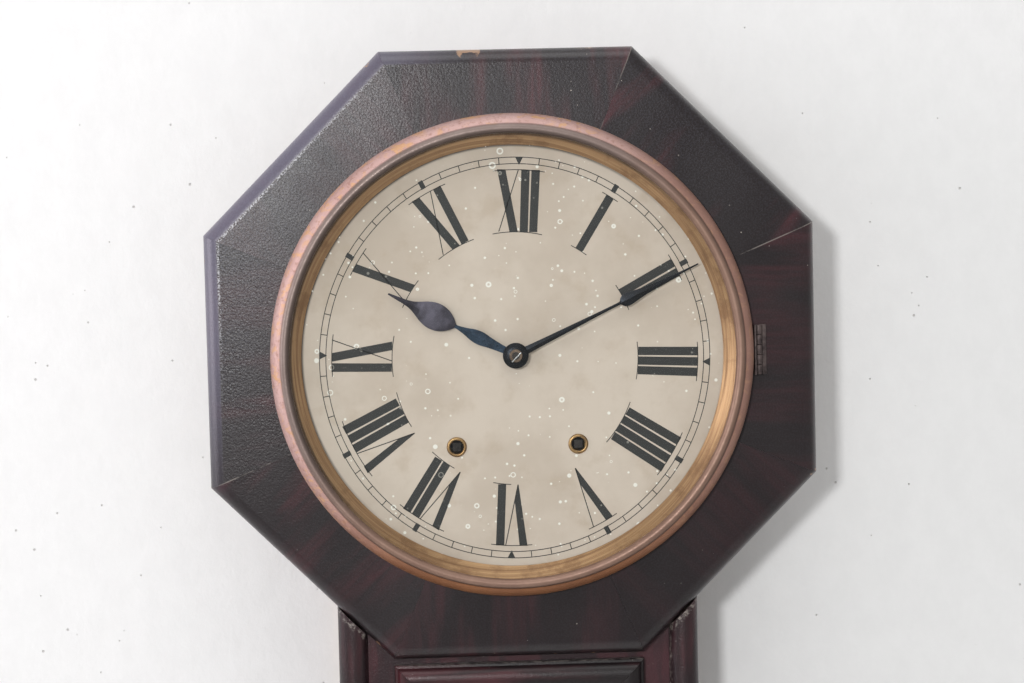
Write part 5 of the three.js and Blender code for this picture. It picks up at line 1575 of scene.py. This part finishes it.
# %% Gong coil
GONG_X = -58.0
GONG_Z = -140.0
GONG_DEPTH = 25.5
GONG_IN = 9.0
GONG_OUT = 31.0
GONG_TURNS = 4.5
WIRE_R = 1.3
GONG_STEPS = 216


def wire_section(share):
    """A ring of twelve corners round the wire, at a share of the way from the inner end."""
    angle = share * GONG_TURNS * 2 * math.pi
    reach = GONG_IN + (GONG_OUT - GONG_IN) * share
    section = []
    for k in range(12):
        around = k * math.pi / 6
        out = reach + WIRE_R * math.cos(around)
        section.append(
            at(GONG_X + out * math.cos(angle), GONG_DEPTH + WIRE_R * math.sin(around),
               GONG_Z + out * math.sin(angle))
        )
    return section


gong = lofted(bmesh.new(), [wire_section(i / GONG_STEPS) for i in range(GONG_STEPS + 1)])
finished(gong, "gong_spiral", BLUED, "case", ["gong_coil"], sharp=50)

# %% [markdown]
# The ribbon of a mainspring winds out from the arbor and ends in a straight run to its pillar.

# %% Mainsprings
SPRING_IN = 4.8
SPRING_OUT = 25.0
SPRING_TURNS = 5
SPRING_STEPS = 180
RIBBON = 0.35
SPRING_PILLAR = (61.0, -82.0)
POST_SPACE = 3.5


def spring_sections(side):
    """Rectangles across the ribbon, from the arbor out to the pillar."""
    low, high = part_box("mainspring_time")
    near, far = -high.y / MM, -low.y / MM
    to_post = (SPRING_PILLAR[0] - WIND_X, SPRING_PILLAR[1] - WIND_Z)
    end = math.atan2(to_post[1], to_post[0])
    line = []
    for i in range(SPRING_STEPS + 1):
        share = i / SPRING_STEPS
        angle = end - (1 - share) * SPRING_TURNS * 2 * math.pi - 0.5
        r = SPRING_IN + (SPRING_OUT - SPRING_IN) * share
        line.append((r * math.cos(angle), r * math.sin(angle), math.cos(angle), math.sin(angle)))
    last = line[-1]
    run = Vector((to_post[0] - last[0], to_post[1] - last[1]))
    stop = run.length - POST_SPACE
    run.normalize()
    line.append((last[0] + run.x * stop, last[1] + run.y * stop, run.y, -run.x))
    sections = []
    for x, z, nx, nz in line:
        corners = [(s * RIBBON, depth) for s, depth in ((1, near), (1, far), (-1, far), (-1, near))]
        sections.append([
            at(side * (WIND_X + x + s * nx), depth, WIND_Z + z + s * nz) for s, depth in corners
        ])
    return sections


for side, node in ((1, "mainspring_time"), (-1, "mainspring_strike")):
    spring = lofted(bmesh.new(), spring_sections(side))
    finished(spring, f"{node}_ribbon", STEEL, "case", [node], sharp=30)

# %% [markdown]
# ## Finishes for the pieces that keep their shape
#
# Boards, plates, wheels and arbors are already the right shape, so they only get their finish. Flat
# boards take the veneer with its grain up and down. A bevel modifier breaks the edges of the boards, so
# they catch a little light as real ones do.

# %% Finishes by piece
KEPT = {
    "drop_panel": BOARD_VENEER, "side_left": BOARD_VENEER, "side_right": BOARD_VENEER,
    "top_board": BOARD_VENEER, "bottom_board_left": BOARD_VENEER, "bottom_board_right": BOARD_VENEER,
    "backboard": SOFTWOOD, "movement_block_left": SOFTWOOD, "movement_block_right": SOFTWOOD,
    "back_plate": BRASS, "front_plate": BRASS, "gong_base": IRON, "hanger_plate": IRON,
    "door_glass": GLASS, "centre_arbor": ARBOR_STEEL, "hour_wheel": BRASS, "minute_wheel": BRASS,
    "second_wheel": BRASS, "great_wheel_time": BRASS, "third_wheel": BRASS, "escape_wheel": BRASS,
    "winding_arbor_time": ARBOR_STEEL, "pin_wheel": BRASS, "great_wheel_strike": BRASS,
    "warning_wheel": BRASS, "fly": BRASS, "winding_arbor_strike": ARBOR_STEEL, "hammer": STEEL,
    "pendulum_rod": STEEL, "verge": STEEL, "rating_nut": BRASS,
}
for node, material in KEPT.items():
    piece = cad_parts[node]
    piece.data.materials.clear()
    piece.data.materials.append(material)
    if material in (BOARD_VENEER, SOFTWOOD):
        soften = piece.modifiers.new("softened_edges", "BEVEL")
        soften.width = 0.3 * MM
        soften.segments = 2
        soften.limit_method = "ANGLE"
        soften.angle_limit = math.radians(40)
print("kept pieces finished:", len(KEPT))

# %% [markdown]
# ## Wall and floor
#
# The clock hangs on a white painted wall with small nicks in it. The wall is a thin sheet just behind the
# backboard. It can't be seen from behind, so the clock can be looked at from there too, and it is open
# where the clock covers it, so that light reaches the backboard. Two rings of edges, bridged, make a
# sheet with a hole. The floor is far below the picture.

# %% Wall and floor
WALL, tree, shader = new_material("white_wall")
place = here(tree)
nick = use_group(
    tree, speck_group, {"Vector": place, "Per Metre": 75.0, "Size": 0.055, "Share": 0.75},
)["Mask"]
brushed = noise(tree, stretched(tree, place, (55, 55, 42)), 1.0, 5.0, 0.65)
paint = blend(tree, between(tree, brushed, 0.3, 0.7), (0.826, 0.826, 0.826, 1), (0.802, 0.802, 0.802, 1))
paint = blend(tree, times(tree, nick, 0.6), paint, (0.40, 0.38, 0.36, 1))
fill(tree, shader, {"Base Color": paint, "Roughness": 0.85})
bumped(tree, shader, sums(tree, "MULTIPLY_ADD", nick, -1.0, brushed), 0.0006)
facing = put(tree, "ShaderNodeNewGeometry").outputs["Backfacing"]
swapped(tree, shader, facing, put(tree, "ShaderNodeBsdfTransparent"))

FLOOR, tree, shader = new_material("pale_floor")
fill(tree, shader, {"Base Color": (0.80, 0.80, 0.79, 1), "Roughness": 0.8})


def surroundings(bm, name, material):
    """Turns a bmesh into a part of the room."""
    mesh = bpy.data.meshes.new(name)
    bm.to_mesh(mesh)
    bm.free()
    mesh.materials.append(material)
    made = bpy.data.objects.new(name, mesh)
    bpy.context.scene.collection.objects.link(made)


WALL_DEPTH = -0.6
FAR = 4500.0
WALL_OUTLINE = [(-FAR, FAR), (FAR, FAR), (FAR, -FAR / 2), (0, -FAR), (-FAR, -FAR / 2)]
WALL_OPENING = [(-105, 136), (105, 136), (105, -316), (0, -365), (-105, -316)]
FLOOR_PLACE = (0, -4.0, -1.3)
wall_bm = bmesh.new()
borders = []
for points in (WALL_OUTLINE, WALL_OPENING):
    corners = [wall_bm.verts.new(on_case(x, WALL_DEPTH, z)) for x, z in points]
    borders += [wall_bm.edges.new(pair) for pair in zip(corners, corners[1:] + corners[:1])]
bmesh.ops.bridge_loops(wall_bm, edges=borders)
wall_bm.normal_update()
bmesh.ops.reverse_faces(wall_bm, faces=[face for face in wall_bm.faces if face.normal.y > 0])
wall_bm.normal_update()
outward = all(face.normal.y < 0 for face in wall_bm.faces)
print("wall faces:", len(wall_bm.faces), "all turned to the room:", outward)
surroundings(wall_bm, "wall", WALL)
floor_bm = bmesh.new()
bmesh.ops.create_grid(
    floor_bm, x_segments=1, y_segments=1, size=FAR * MM, matrix=Matrix.Translation(FLOOR_PLACE),
)
surroundings(floor_bm, "floor", FLOOR)

# %% [markdown]
# ## Light
#
# A window high on the left gives the soft main light and the shadow on the right. A large dim panel keeps
# the left bands of the head lavender-grey, a ceiling panel lights the tops, and the room fills the rest.

# %% Light
AIM = Vector((0, 0, 0))


def panel(name, place, size, watts, tint=(1, 1, 1)):
    """A square area light aimed at the foot of the hand arbor, its place and size in metres."""
    light = bpy.data.lights.new(name, "AREA")
    light.size = size
    light.energy = watts
    light.color = tint
    made = bpy.data.objects.new(name, light)
    aim = (AIM - Vector(place)).to_track_quat("-Z", "Y").to_matrix().to_4x4()
    made.matrix_world = Matrix.Translation(place) @ aim
    bpy.context.scene.collection.objects.link(made)


ROOM_STRENGTH = 0.46
panel("window", (-0.42, -1.9, 0.30), size=0.14, watts=16.6)
panel("left_room", (-1.9, -0.55, 0.30), size=1.1, watts=17, tint=(1.0, 0.95, 1.0))
panel("ceiling", (0.0, -1.0, 2.0), size=1.5, watts=15)
world = bpy.data.worlds.new("room")
world.use_nodes = True
background = world.node_tree.nodes["Background"]
fill(world.node_tree, background, {"Color": (1.0, 0.995, 0.985, 1), "Strength": ROOM_STRENGTH})
bpy.context.scene.world = world
bpy.context.scene.view_settings.view_transform = "Standard"
